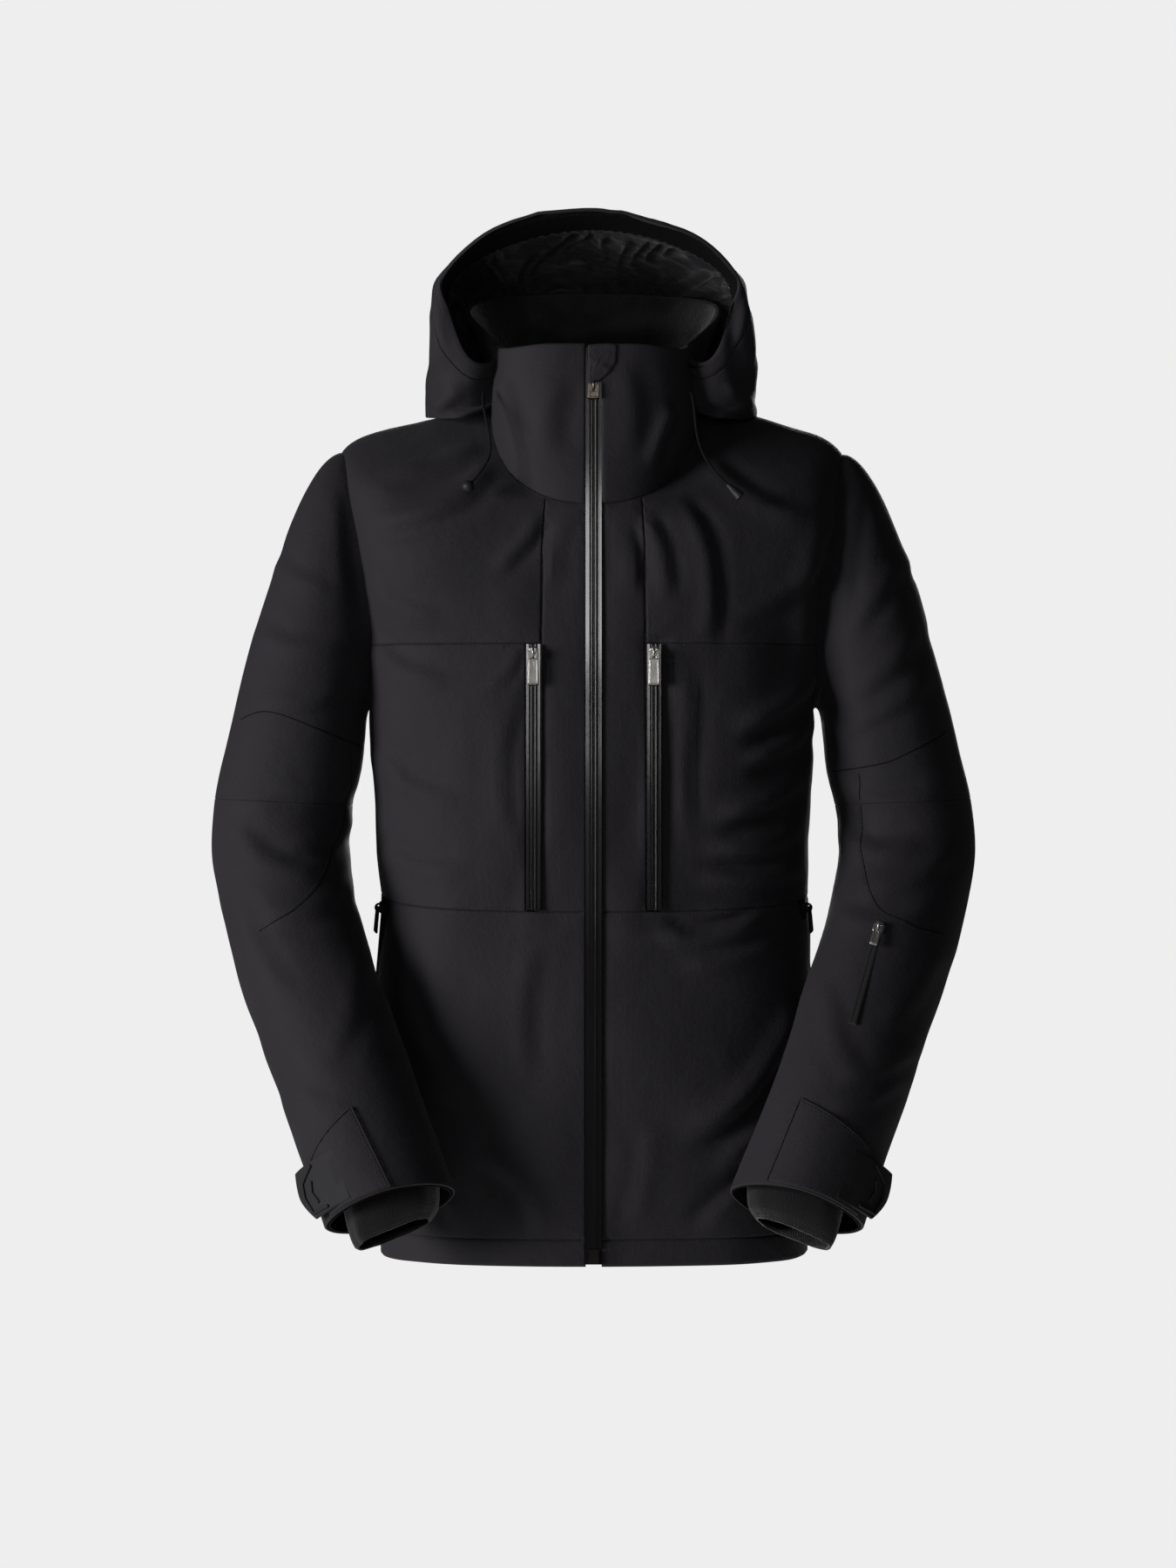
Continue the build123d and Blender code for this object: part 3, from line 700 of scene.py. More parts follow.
def simple_panel(name, body_name, surface, parts, *replaced):
    """One piece made of several panels, each given by its four edges and what else panel() takes."""
    mesher = Mesher()
    for edges, more in parts:
        panel(mesher, surface, *edges, **more)
    hand_over(mesher, name, [SHELL, THREAD], body_name, "shell_fabric", *replaced)


simple_panel("cloth_back_panel", "torso", body, [((SIDE_U, 1 - SIDE_U, V_HEM_SEAM, V_YOKE), dict(
    stitches={"left": (2.4,), "right": (2.4,), "top": (2.4, 8.0)}, crown=2.0))], "back_panel")
simple_panel("cloth_back_yoke", "torso", body, [((SIDE_U, 1 - SIDE_U, V_YOKE, V_NECK + NECK_LAP), dict(
    stitches={"bottom": (2.4,)}, crown=1.6))], "back_yoke")
hem_edge = {"bottom": (3.0,), "top": (2.2,)}
simple_panel("cloth_hem_band", "torso", body, [
    ((left, right, V_HEM, V_HEM_SEAM),
     dict(stitches=dict(hem_edge, **more), open_edges=("bottom",), thickness=4.0))
    for left, right, more in ((upright(body, PLACKET, V_HEM, V_HEM_SEAM), SIDE_U, {"left": (5.0,)}),
                              (SIDE_U, 1 - SIDE_U, {}),
                              (-SIDE_U, upright(body, -PLACKET, V_HEM, V_HEM_SEAM), {"right": (5.0,)}))
], "hem_band")


def lining_piece(name, surface, u_range, v_range, depth, steps_u, steps_v, crinkle, replaced, slot, finish,
                 waves, thickness=1.2):
    """Thin cloth inside a surface, with soft crinkles of its own."""
    u = np.linspace(*u_range, steps_u)
    v = np.linspace(*v_range, steps_v)
    uu, vv = np.meshgrid(u, v)
    base = surface.base(uu.ravel(), vv.ravel())
    n = surface.normal(uu.ravel(), vv.ravel())
    rng = np.random.default_rng(5)
    height = np.zeros(len(base))
    for frequency in waves:
        for _ in range(10):
            turn = base @ unit(rng.normal(size=3)) * frequency * rng.uniform(0.5, 1.6) + rng.uniform(0, 6.28)
            height += np.abs(np.sin(turn)) ** 1.5
    height = crinkle * (height / (len(waves) * 10) * 2 - 1)
    outer = (base - n * (depth + height)[:, None]).reshape(steps_v, steps_u, 3)
    inner = outer - (n * thickness).reshape(steps_v, steps_u, 3)
    flat = np.stack([run_along(outer, 1), run_along(outer)], axis=-1)
    mesher = Mesher()
    turned = surface.outward < 0
    mesher.grid(outer, 0, flat, flip=turned)
    mesher.grid(inner, 0, flat, flip=not turned)
    for line in (0, -1):
        mesher.rim(outer[line], inner[line], flat[line], (line == 0) != turned)
        mesher.rim(outer[:, line], inner[:, line], flat[:, line], (line != 0) != turned)
    hand_over(mesher, name, [finish], "torso", slot, *replaced)


lining_piece("cloth_body_lining", body, (0.006, 0.994), (0.012, V_NECK), 7.0, 150, 110, 1.6,
             ["body_lining"], "lining", LINING, waves=(0.10, 0.05))


# ---------------------------------------------------------------- the sleeves
ELBOW = np.array([-287.0, -92.0, -377.0])
WRIST = np.array([-178.0, -257.0, -712.0])
FOREARM = unit(WRIST - ELBOW)


def across_sleeve(along):
    """Level direction across a sleeve that runs along a direction."""
    return unit(np.array([1.0, 0, 0]) - along * along[0])


FOREARM_X = across_sleeve(FOREARM)
FOREARM_BACK = np.cross(FOREARM_X, FOREARM)
RING_U = np.arange(16) / 16 - 0.5


def tube_ring(centre, out, back, bulge=2.15):
    """Ring round a centre: u = 0 at the front, 0.25 on the outside, 0.5 at the back."""
    angle = RING_U * 2 * math.pi
    c, s = np.cos(angle), np.sin(angle)
    scale = (np.abs(c) ** bulge + np.abs(s) ** bulge) ** (-1 / bulge)
    return centre + (scale * s)[:, None] * out - (scale * c)[:, None] * back


def sleeve_rings():
    rings = []
    for outer, inner, y, half_depth in (
            ((-200, -48), (-184, -250), -78, 44), ((-233, -33), (-198, -272), -78, 56),
            ((-263, -67), (-204, -268), -79, 66),
            ((-294, -150), (-208, -276), -80, 72), ((-315, -225), (-210, -298), -83, 73),
            ((-334, -300), (-213, -326), -87, 71), ((-346, -350), (-220, -356), -91, 69)):
        outer, inner = np.array([outer[0], y, outer[1]]), np.array([inner[0], y, inner[1]])
        rings.append(tube_ring((outer + inner) / 2, (outer - inner) / 2, np.array([0, half_depth, 0.0])))
    for centre, turn, half_width, half_depth in (
            ((-286, -99, -392), 0.35, 64, 66), ((-280, -119, -430), 0.7, 62, 63),
            ((-265, -148, -487), 1.0, 60, 61), ((-239, -184, -556), 1.0, 59, 61),
            ((-214, -217, -621), 1.0, 58.5, 59), (tuple(WRIST), 1.0, 61, 50)):
        along = unit((1 - turn) * np.array([0, 0, -1.0]) + turn * FOREARM)
        x = across_sleeve(along)
        rings.append(tube_ring(np.array(centre, float), -x * half_width, np.cross(x, along) * half_depth,
                               1.75 if centre == tuple(WRIST) else 2.15))
    return np.array(rings)


SLEEVE_V = [-0.032, 0, 0.045, 0.115, 0.18, 0.245, 0.292, 0.335, 0.378, 0.441, 0.520, 0.598, 0.708]
V_PARTING = 0.292          # between the part that the shoulder turns and the part that the elbow turns
V_SLEEVE_END = 0.706
FACING_V = (0.600, 0.7066)  # how deep the cuff's facing reaches into the sleeve

SLEEVE_FOLDS = {
    -1: folds([
        ([(-236, -62), (-232, -120), (-222, -190)], 9, 1.8),
        ([(-300, -128), (-268, -152), (-226, -160)], 9, 1.6),
        ([(-312, -196), (-270, -214), (-214, -212)], 10, 1.8),
        ([(-216, -236), (-252, -262), (-312, -262)], 9, 1.6),
        ([(-211, -330), (-246, -346), (-300, -338)], 9, 2.2),
        ([(-208, -360), (-240, -384), (-288, -392)], 9, 2.8),
        ([(-330, -368), (-296, -404), (-240, -424)], 10, 2.2),
        ([(-210, -420), (-250, -446), (-314, -452)], 10, 2.4),
        ([(-330, -430), (-300, -490), (-262, -536)], 12, 2.2),
        ([(-206, -470), (-216, -540), (-240, -590)], 11, 1.8),
        ([(-300, -560), (-264, -606), (-214, -622)], 9, 1.8),
        ([(-278, -610), (-262, -634), (-238, -650)], 7, 1.4),
    ]),
    1: folds([
        ([(238, -60), (230, -118), (220, -190)], 9, 1.8),
        ([(300, -120), (262, -156), (226, -208)], 10, 2.4),
        ([(306, -176), (270, -226), (222, -262)], 11, 2.6),
        ([(318, -236), (276, -262), (220, -292)], 9, 1.8),
        ([(212, -330), (252, -352), (318, -346)], 9, 2.2),
        ([(210, -372), (250, -396), (300, -386)], 10, 2.8),
        ([(332, -392), (290, -418), (226, -432)], 10, 2.2),
        ([(210, -446), (246, -462), (300, -456)], 9, 2.0),
        ([(316, -476), (286, -520), (250, -560)], 12, 2.2),
        ([(200, -500), (212, -560), (236, -606)], 11, 2.0),
        ([(292, -566), (258, -586), (206, -596)], 8, 2.2),
        ([(278, -592), (244, -612), (196, -622)], 8, 2.0),
    ]),
}


SLEEVE_BACK_FOLDS = [([(300, -100), (306, -220), (330, -330)], 20, 2.4),
                     ([(330, -380), (270, -400), (230, -392)], 12, 3.0),
                     ([(326, -430), (280, -444), (226, -430)], 12, 2.4)]


def make_sleeve(side):
    """One sleeve's surface; the left one is the right one's mirror, with folds of its own."""
    rings = sleeve_rings()
    if side > 0:
        rings = rings * (-1, 1, 1)
    sleeve = Surface(SLEEVE_V, RING_U, rings, closed=True)
    sleeve.outward = -float(side)
    back = folds([([(x * side, z) for x, z in points], *more) for points, *more in SLEEVE_BACK_FOLDS], "back")
    sleeve.folds = [dict(f, height=f["height"] * SLEEVE_FOLD_SHARE) for f in SLEEVE_FOLDS[side] + back]
    sleeve.wave_height = 0.55
    return sleeve


def standing_off(surface, outwards):
    """Places on a surface that lean away from it towards the outer side, as a stiff tab does."""
    def point(u, v, lift=0.0):
        p, n = surface.point(u, v, lift - 2.2 * (1 - smooth_step((np.ravel(u) - 0.118) / 0.05)))
        return p + outwards * (TAB_PROUD * smooth_step((np.ravel(u) - 0.13) / 0.12))[:, None], n
    return point


sleeves = {side: make_sleeve(side) for side in (-1, 1)}
SEAMS = {
    -1: [[(-318, -279), (-292, -272), (-252, -286), (-213, -303)],
         [(-222, -306), (-226, -360), (-238, -410), (-262, -446), (-299, -468)]],
    1: [[(320, -290), (290, -306), (262, -318), (216, -326)],
        [(238, -328), (240, -386), (250, -440), (280, -462), (314, -472)]],
}
# the strap's peak on the sleeve, and where it meets the cuff's edge
STRAP = {-1: [(0.016, 0.624), (-0.008, 0.7045)], 1: [(-0.072, 0.623), (-0.085, 0.7035)]}
for side, name in SIDES:
    sleeve = sleeves[side]
    full = dict(left=-0.25, right=0.75)
    upper = Mesher()
    panel(upper, sleeve, **full, bottom=-0.03, top=V_PARTING, stitches={"right": (2.4,)},
          open_edges=("bottom", "top"), roll=0.4)
    lower = Mesher()
    panel(lower, sleeve, **full, bottom=V_PARTING, top=V_SLEEVE_END,
          stitches={"right": (2.4,), "top": (3.0,)}, open_edges=("bottom", "top"), roll=0.9, thickness=1.6)
    for number, points in enumerate(SEAMS[side]):
        guess = (0.15, 0.2) if number == 0 else (0.0, 0.32)
        uv = []
        for x, z in points:
            guess = sleeve.locate(x, z, guess)
            uv.append(guess)
        uv = smooth_path(uv, 60)
        above = uv[:, 1] <= V_PARTING
        for mesher, part in ((upper, uv[above]), (lower, uv[~above])):
            if len(part) > 4:
                seam_line(mesher, sleeve, part, 2)
    arm = upper.make("cloth_upper_sleeve_" + name, [SHELL, THREAD, GROOVE_SHADE])
    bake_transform(arm)
    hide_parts("sleeve_cap_" + name, "upper_sleeve_" + name)
    forearm = lower.make("cloth_lower_sleeve_" + name, [SHELL, THREAD, GROOVE_SHADE])
    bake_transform(forearm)
    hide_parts("elbow_band_" + name, "forearm_" + name)

    # the strap that draws the cuff in, laid over the sleeve, and the facing turned into its mouth
    cuff = Mesher()
    peak, inner_end = STRAP[side]
    panel(cuff, sleeve, corners=[peak, (0.17, 0.651), (0.18, 0.7045), inner_end], lift=2.0, step=4.0,
          thickness=2.2, roll=1.2, dip=0.3, crown=0.6, stitches={"top": (2.6,)})
    for ends in ((peak, (0.17, 0.651)), (peak, inner_end)):
        seam_line(cuff, sleeve, ends, 0, width=0.9, lift=2.2)
    # the facing's near-black colour is painted shade inside the cuff's mouth
    facing = Surface(SLEEVE_V, RING_U, sleeve.rings[:, LAP:-LAP], closed=True)
    facing.outward = sleeve.outward
    panel(cuff, facing, **full, bottom=FACING_V[0], top=FACING_V[1], lift=-2.2, step=4.0, thickness=1.2,
          open_edges=("top",), kinds=(2, 1))
    hand_over(cuff, "cloth_cuff_" + name, [SHELL, THREAD, FACING_SHADE],
              "forearm_" + name, "shell_fabric", "cuff_" + name)

    # rubber tab at the strap's end, with two raised bars that follow its pointed edge
    tab = Mesher()
    tab_surface = copy.copy(sleeve)
    tab_surface.point = standing_off(sleeve, -FOREARM_X * (-side, 1, 1))
    panel(tab, tab_surface, 0.090, lambda b: 0.206 + 0.050 * (1 - np.abs(b - 0.40) / 0.60), 0.6525,
          0.7015, lift=4.6, step=2.0, thickness=1.9, roll=1.4, dip=0.0, pucker=0.0)
    for uv, height in (
            ([(0.160, 0.6565), (0.204, 0.6665), (0.214, 0.679), (0.203, 0.6965), (0.156, 0.6975)], 5.4),
            ([(0.176, 0.669), (0.186, 0.679), (0.177, 0.690)], 5.2)):
        uv = np.concatenate([np.linspace(p, q, 8)[:-1] for p, q in zip(uv, uv[1:])] + [[uv[-1]]])
        bar, bar_out = tab_surface.point(*uv.T, height)
        tube(tab, bar, 1.5, bar_out, squash=0.8)
    hand_over(tab, "rubber_cuff_tab_" + name, [TAB, THREAD],
              "cuff_tab_" + name, "tab_rubber", "cuff_tab_" + name)


# ---------------------------------------------------------------- the collar
COLLAR_MIDDLE = [(0, -172.5, -14), (43, -168.5, -12), (76, -150, -2), (90, -118, 16), (96, -84, 38),
                 (98, -50, 52), (88, -14, 58), (50, 10, 60), (0, 17, 60)]
COLLAR_TOP = [(0, -168.5, 58), (44, -167, 58), (75, -150, 56), (85, -122, 60), (102, -88, 77),
              (117, -50, 96), (110, -12, 111), (63, 14, 120), (0, 22, 123)]
V_COLLAR = 0.144
collar = Surface([0.0, V_COLLAR / 2, V_COLLAR], ROUND_U,
                 [body_ring(NECK_RING), body_ring(COLLAR_MIDDLE), body_ring(COLLAR_TOP)], closed=True)
collar.folds = folds([
    ([(70, 4), (60, -20), (48, -52)], 7, 3.6, 0.15),
    ([(-30, 34), (-42, -10), (-40, -50)], 14, 1.4),
    ([(24, 44), (34, 0), (30, -50)], 12, 1.2),
    ([(-84, 40), (-72, -6), (-60, -36)], 8, 1.6),
])
collar.wave_height = 0.6
COLLAR_SIDE_U = 0.225
for side, name in SIDES:
    mesher = Mesher()
    inner = upright(collar, PLACKET * side, 0.0, V_COLLAR)
    left, right = (-COLLAR_SIDE_U, inner) if side < 0 else (inner, COLLAR_SIDE_U)
    edge = "right" if side < 0 else "left"
    panel(mesher, collar, left, right, 0.0, V_COLLAR, thickness=5.5, roll=2.4, crown=2.0,
          stitches={edge: (5.5,), "bottom": (2.6,)}, open_edges=("top", edge), lift=0.8)
    hand_over(mesher, "cloth_collar_front_" + name, [SHELL, THREAD],
              "torso", "shell_fabric", "collar_front_" + name)
mesher = Mesher()
panel(mesher, collar, COLLAR_SIDE_U, 1 - COLLAR_SIDE_U, 0.0, V_COLLAR, thickness=3.0,
      crown=1.0, stitches={"bottom": (2.6,), "top": (3.5,)}, open_edges=("top",))
hand_over(mesher, "cloth_collar_back", [SHELL, THREAD], "torso", "shell_fabric", "collar_back")
for part, u0, u1, depth in (("back", COLLAR_SIDE_U - 0.004, 1 - COLLAR_SIDE_U + 0.004, 3.2),
                            ("right", -COLLAR_SIDE_U, -0.018, 5.2), ("left", 0.018, COLLAR_SIDE_U, 5.2)):
    lining_piece("cloth_collar_fleece_" + part, collar, (u0, u1), (0.001, 0.1425), depth, 110, 50, 0.9,
                 [], "collar_fleece", FLEECE, waves=(0.09,), thickness=1.6)
# a narrow binding along the back collar's top edge
u = np.linspace(COLLAR_SIDE_U - 0.02, 1 - COLLAR_SIDE_U + 0.02, 120)
edge, edge_out = collar.point(u, np.full(len(u), 0.1445), -1.8)
mesher = Mesher()
tube(mesher, edge, 2.1, edge_out, sides=10)
hand_over(mesher, "cloth_collar_binding", [SHELL], "torso", "shell_fabric")


# ---------------------------------------------------------------- the hood
HOOD_W = np.array([0, .08, .17, .26, .33, .42, .5])
HOOD_U = np.r_[HOOD_W, 1 - HOOD_W[-2::-1]]
HOOD_V = [0, .014, .040, .074, .114, .170, .220, .266, .306, .326]
HOOD_ARCHES = [
    [(-79, -118, 55), (-98, -141, 43), (-116, -149, 52), (-131, -150, 90), (-138, -152, 122),
     (-84, -161, 165), (0, -165, 180)],
    [(-81, -118, 40), (-106, -142, 32), (-131, -145, 50), (-143, -144, 90), (-139, -144, 121),
     (-85, -150, 163), (0, -152, 178.5)],
    [(-85, -118, 12), (-124, -136, 10), (-146, -126, 50), (-145, -124, 94), (-140, -124, 124),
     (-86, -127, 161), (0, -128, 177.5)],
    [(-122, -134, -5), (-149, -116, 14), (-150, -98, 58), (-144, -94, 100), (-136, -94, 128),
     (-82, -94, 158), (0, -94, 173)],
    [(-154, -84, -1), (-155, -76, 24), (-150, -62, 64), (-142, -56, 104), (-126, -54, 133),
     (-72, -54, 156), (0, -54, 166)],
    [(-148, -34, 4), (-151, -26, 30), (-147, -14, 66), (-139, -6, 108), (-112, -2, 138),
     (-58, 0, 155), (0, 2, 160)],
    [(-122, 4, 8), (-132, 16, 34), (-130, 28, 66), (-120, 38, 100), (-94, 44, 126),
     (-48, 46, 140), (0, 48, 145)],
    [(-74, 32, 8), (-84, 44, 32), (-84, 56, 60), (-76, 64, 86), (-56, 68, 102), (-28, 70, 110), (0, 71, 113)],
    [(-24, 42, 6), (-27, 54, 26), (-27, 64, 46), (-25, 70, 60), (-19, 73, 68), (-9, 75, 74), (0, 75, 76)],
    [(0, 44, 6), (0, 56, 26), (0, 66, 46), (0, 72, 58), (0, 74, 66), (0, 75, 72), (0, 76, 76)],
]
HOOD_SLIM = 0.955       # the photo's hood is a little slimmer on the wearer's left


def hood_ring(arch):
    """An arch given from the right end to the middle, and the same points across the middle plane."""
    ring = np.concatenate([arch, np.array(arch[-2::-1], float) * (-1, 1, 1)])
    return ring * np.where(ring[:, :1] > 0, (HOOD_SLIM, 1, 1), (1, 1, 1))


hood = Surface(HOOD_V, HOOD_U, [hood_ring(arch) for arch in HOOD_ARCHES], closed=False)
hood.folds = folds([
    ([(-60, 152), (-50, 172), (-46, 190)], 7, 1.0),
    ([(20, 160), (26, 178), (24, 192)], 7, 1.0),
    ([(-146, 30), (-140, 70), (-144, 110)], 9, 2.0),
    ([(146, 26), (138, 74), (143, 112)], 9, 2.4),
    ([(-118, 24), (-138, 8), (-150, -2)], 8, 1.8),
    ([(118, 26), (136, 10), (150, 0)], 8, 2.0),
]) + folds([
    ([(-90, 60), (-60, 110), (-30, 150)], 12, 2.0),
    ([(100, 50), (70, 100), (40, 150)], 12, 2.0),
    ([(-60, 20), (-20, 46), (30, 40)], 10, 1.8),
], "back")
CROWN_U = 0.402
V_BRIM = 0.017


simple_panel("cloth_hood_brim", "hood", hood, [((0.0, 1.0, 0.0, V_BRIM), dict(
    step=3.0, crown=0.4, dip=0.4, stitches={"bottom": (2.6,), "top": (1.8,)},
    open_edges=("bottom", "left", "right")))], "hood_brim")
simple_panel("cloth_hood_crown", "hood", hood, [((CROWN_U, 1 - CROWN_U, V_BRIM, 0.325), dict(
    step=3.4, crown=1.2, stitches={"left": (2.2,), "right": (2.2,), "bottom": (1.8,)}))], "hood_crown")
for left, right, name, hem in ((0.0, CROWN_U, "right", "left"), (1 - CROWN_U, 1.0, "left", "right")):
    simple_panel("cloth_hood_side_" + name, "hood", hood, [((left, right, V_BRIM, 0.3255), dict(
        step=3.8, crown=1.2, stitches={name: (2.2,), "bottom": (1.8,), hem: (4.0,)}, open_edges=(hem,)))],
        "hood_side_" + name)

# the adjuster at the back of the hood: a moulded plate with its strap's slot
mesher = Mesher()
panel(mesher, hood, 0.474, 0.526, 0.232, 0.262, step=2.0, lift=4.4, thickness=3.4,
      roll=1.6, dip=0.0, pucker=0.0)
for v in (0.240, 0.254):
    u = np.linspace(0.480, 0.520, 14)
    bar, bar_out = hood.point(u, np.full(14, v), 5.2)
    tube(mesher, bar, 1.3, bar_out)
hand_over(mesher, "plastic_hood_adjuster", [PLASTIC, PLASTIC],
          "hood", "adjuster_plastic", "hood_rear_adjuster")
mesher = Mesher()
for left, right in ((0.300, 0.476), (0.524, 0.700)):
    panel(mesher, hood, left, right, 0.241, 0.253, step=3.0, lift=1.6, thickness=1.2,
          roll=0.6, dip=0.0, pucker=0.0)
hand_over(mesher, "tape_hood_adjuster", [LOOP, THREAD], "hood", "loop_tape")

# inside: a plain facing behind the brim, an elastic that gathers it, and the lining that hangs from that
INSIDE_ARCHES = [
    [(-77, -116, 54), (-97, -138, 41), (-115, -146, 52), (-128, -147, 90), (-135, -149, 120),
     (-82, -158, 162), (0, -162, 176.5)],
    [(-80, -108, 44), (-104, -124, 36), (-124, -128, 54), (-133, -126, 94), (-118, -126, 128),
     (-64, -126, 154), (0, -126, 164)],
    [(-84, -104, 20), (-118, -112, 22), (-136, -106, 54), (-137, -100, 96), (-120, -98, 128),
     (-64, -98, 151), (0, -98, 160)],
    [(-118, -90, 6), (-140, -78, 26), (-142, -62, 60), (-136, -56, 100), (-114, -54, 128),
     (-62, -54, 148), (0, -54, 155)],
    [(-138, -34, 10), (-141, -26, 32), (-138, -16, 64), (-130, -8, 98), (-106, -4, 122), (-56, -4, 138),
     (0, -4, 143)],
    [(-112, 0, 14), (-122, 10, 36), (-120, 20, 62), (-112, 28, 88), (-88, 34, 110), (-46, 36, 120),
     (0, 38, 124)],
    [(-66, 24, 14), (-76, 34, 34), (-76, 44, 58), (-70, 50, 76), (-52, 54, 90), (-26, 56, 96), (0, 57, 98)],
    [(-20, 34, 12), (-23, 44, 28), (-23, 52, 44), (-21, 57, 54), (-16, 59, 60), (-8, 60, 64), (0, 61, 66)],
]
inside = Surface([0, .040, .070, .114, .166, .208, .250, .290], HOOD_U,
                 [hood_ring(arch) for arch in INSIDE_ARCHES], closed=False)
inside.outward = -1.0
V_GATHER = 0.040
GATHERS = 46


def inside_point(u, v, lift=0.0):
    """Cloth inside the hood: flat in the facing, gathered at the elastic, crinkled in the lining."""
    u, v = np.ravel(u), np.ravel(v)
    p, n = inside.base(u, v), inside.normal(u, v)
    wander = 0.9 * np.sin(u * 33 + 1.0) + 0.7 * np.sin(u * 61 + v * 40)
    at_elastic = np.exp(-((v - V_GATHER) / 0.0045) ** 2)
    behind = smooth_step((v - V_GATHER) / 0.012)
    fading = np.exp(-np.clip(v - V_GATHER, 0, 1) / 0.05)
    fine = np.sin(2 * math.pi * GATHERS * u + 1.6 * wander)
    broad = np.sin(2 * math.pi * 17 * u + 1.2 * np.sin(v * 38 + u * 19) + 1.6 * wander)
    slack = np.sin(2 * math.pi * 8 * u + 1.1 * np.sin(v * 30 + 2.0) + 0.8)
    height = 1.1 * at_elastic * np.sin(2 * math.pi * 2 * GATHERS * u + wander)
    height = height + behind * (1.1 * fine * fading + 3.8 * (1 - np.abs(broad)) ** 1.4 + 2.6 * slack - 1.0)
    return p + n * (height + lift)[:, None], n


inside.point = inside_point
# the facing's near-black colour is painted shade under the brim
mesher = Mesher()
panel(mesher, inside, 0.0, 1.0, 0.0, V_GATHER - 0.003, step=1.6, thickness=1.2,
      roll=0.6, dip=0.3, pucker=0.2, stitches={"bottom": (3.0,), "top": (1.5,)})
hand_over(mesher, "cloth_hood_facing", [FACING_SHADE, THREAD], "hood", "shell_fabric")
mesher = Mesher()
panel(mesher, inside, 0.0, 1.0, V_GATHER - 0.004, 0.289, step=2.0, thickness=1.2,
      roll=0.6, dip=0.3, pucker=0.3)
hand_over(mesher, "cloth_hood_lining", [LINING, THREAD], "hood", "lining", "hood_lining")


# ---------------------------------------------------------------- zips
def joint(name):
    return next(j for j in frame["joints"] if j["name"] == name)


class Zip:
    """Where a zip lies, from its two joints: a slider that slides and a pull that swings."""

    EYE_HEIGHT = 7.35       # of the pull's bar above the zip's face

    def __init__(self, name, above):
        slide, swing = joint(name + "_zip_slide"), joint(name + "_pull_swing")
        self.name = name
        self.metal = {"main": DARK_METAL, "hand_right": BOX_METAL, "hand_left": BOX_METAL}.get(name, STEEL)
        self.slot = "main_pull_metal" if name == "main" else "pull_metal"
        self.down = unit(np.array(slide["axis"], float))
        self.x = -np.array(swing["axis"], float)
        self.x /= np.linalg.norm(self.x)
        self.out = np.cross(self.down, self.x)
        self.bar = np.array(swing["pos_m"], float) / MM
        self.slider = self.bar - self.out * self.EYE_HEIGHT
        self.top = self.slider - self.down * above
        self.length = above + slide["range_m"][1] / MM + 9

    def place(self, p, origin=None):
        """Local x, distance down and height, to the frame's millimetres."""
        p = np.asarray(p, float)
        origin = self.top if origin is None else origin
        return origin + p[..., :1] * self.x + p[..., 1:2] * self.down + p[..., 2:3] * self.out


# half a closed zip's section: distance from the middle, height, and how much each tooth lifts it
ZIP_SECTION = [(0.0, 1.25, 0.0), (0.4, 1.52, 0.12), (0.8, 1.60, 0.02), (2.0, 1.61, 0.006), (2.9, 1.60, 0.003),
               (3.4, 1.42, 0.0), (4.0, 1.40, 0.0), (6.2, 1.40, 0.0)]
TOOTH_PITCH = 1.5


def zip_strip(mesher, z, edge):
    """Coated zip with fine teeth under its film, from its top to its foot."""
    section = np.array([row for row in ZIP_SECTION if row[0] < edge] + [(edge, 1.4, 0.0)])
    x, height, lift = np.concatenate([section[:0:-1] * (-1, 1, 1), section]).T
    down = np.arange(0.0, z.length, TOOTH_PITCH / 4)
    phase = 2 * math.pi * down / TOOTH_PITCH
    teeth = np.where(x < 0, np.cos(phase)[:, None], np.cos(phase + math.pi)[:, None])
    rng = np.random.default_rng(3)
    sway = sum(np.sin(down / rng.uniform(18, 60) + rng.uniform(0, 6)) for _ in range(4)) * 0.06
    tall = height + lift * teeth + sway[:, None]
    across, run = np.broadcast_arrays(x, down[:, None])
    top = z.place(np.stack([across, run, tall], axis=-1))
    under = z.place(np.stack([across, run, np.full(tall.shape, -0.8)], axis=-1))
    flat = np.stack([across, run], axis=-1)
    mesher.grid(top, 0, flat, flip=True)
    mesher.grid(under, 0, flat)
    for k, turn in ((0, True), (-1, False)):
        mesher.rim(top[k], under[k], flat[k], not turn)
        mesher.rim(top[:, k], under[:, k], flat[:, k], turn)


def slab(mesher, z, outline, low, high, bevel, origin=None, dome=0.0, twist=0.0):
    """Flat part with a bevelled edge: an outline of (x, down) points, from one height to another."""
    outline = np.asarray(outline, float)
    middle = outline.mean(axis=0)
    reach = np.linalg.norm(outline - middle, axis=1, keepdims=True)
    rows = []
    for inset, height in ((0, low), (0, high - bevel), (bevel * 0.35, high - bevel * 0.3),
                          (bevel, high), (bevel * 2.2, high + dome)):
        ring = middle + (outline - middle) * (1 - inset / reach)
        rows.append(np.c_[ring, height + twist * ring[:, 0]])
    mesher.bar(z.place(np.array(rows), z.bar if origin is None else origin))


def slab_pair(mesher, z, outer, inner, top, bottom, *heights, **more):
    """The same upright bar on either side of the middle."""
    for side in (-1, 1):
        bar = [(side * outer, top), (side * outer, bottom), (side * inner, bottom), (side * inner, top)]
        slab(mesher, z, bar if side < 0 else bar[::-1], *heights, **more)


CORNER_STEPS = 5


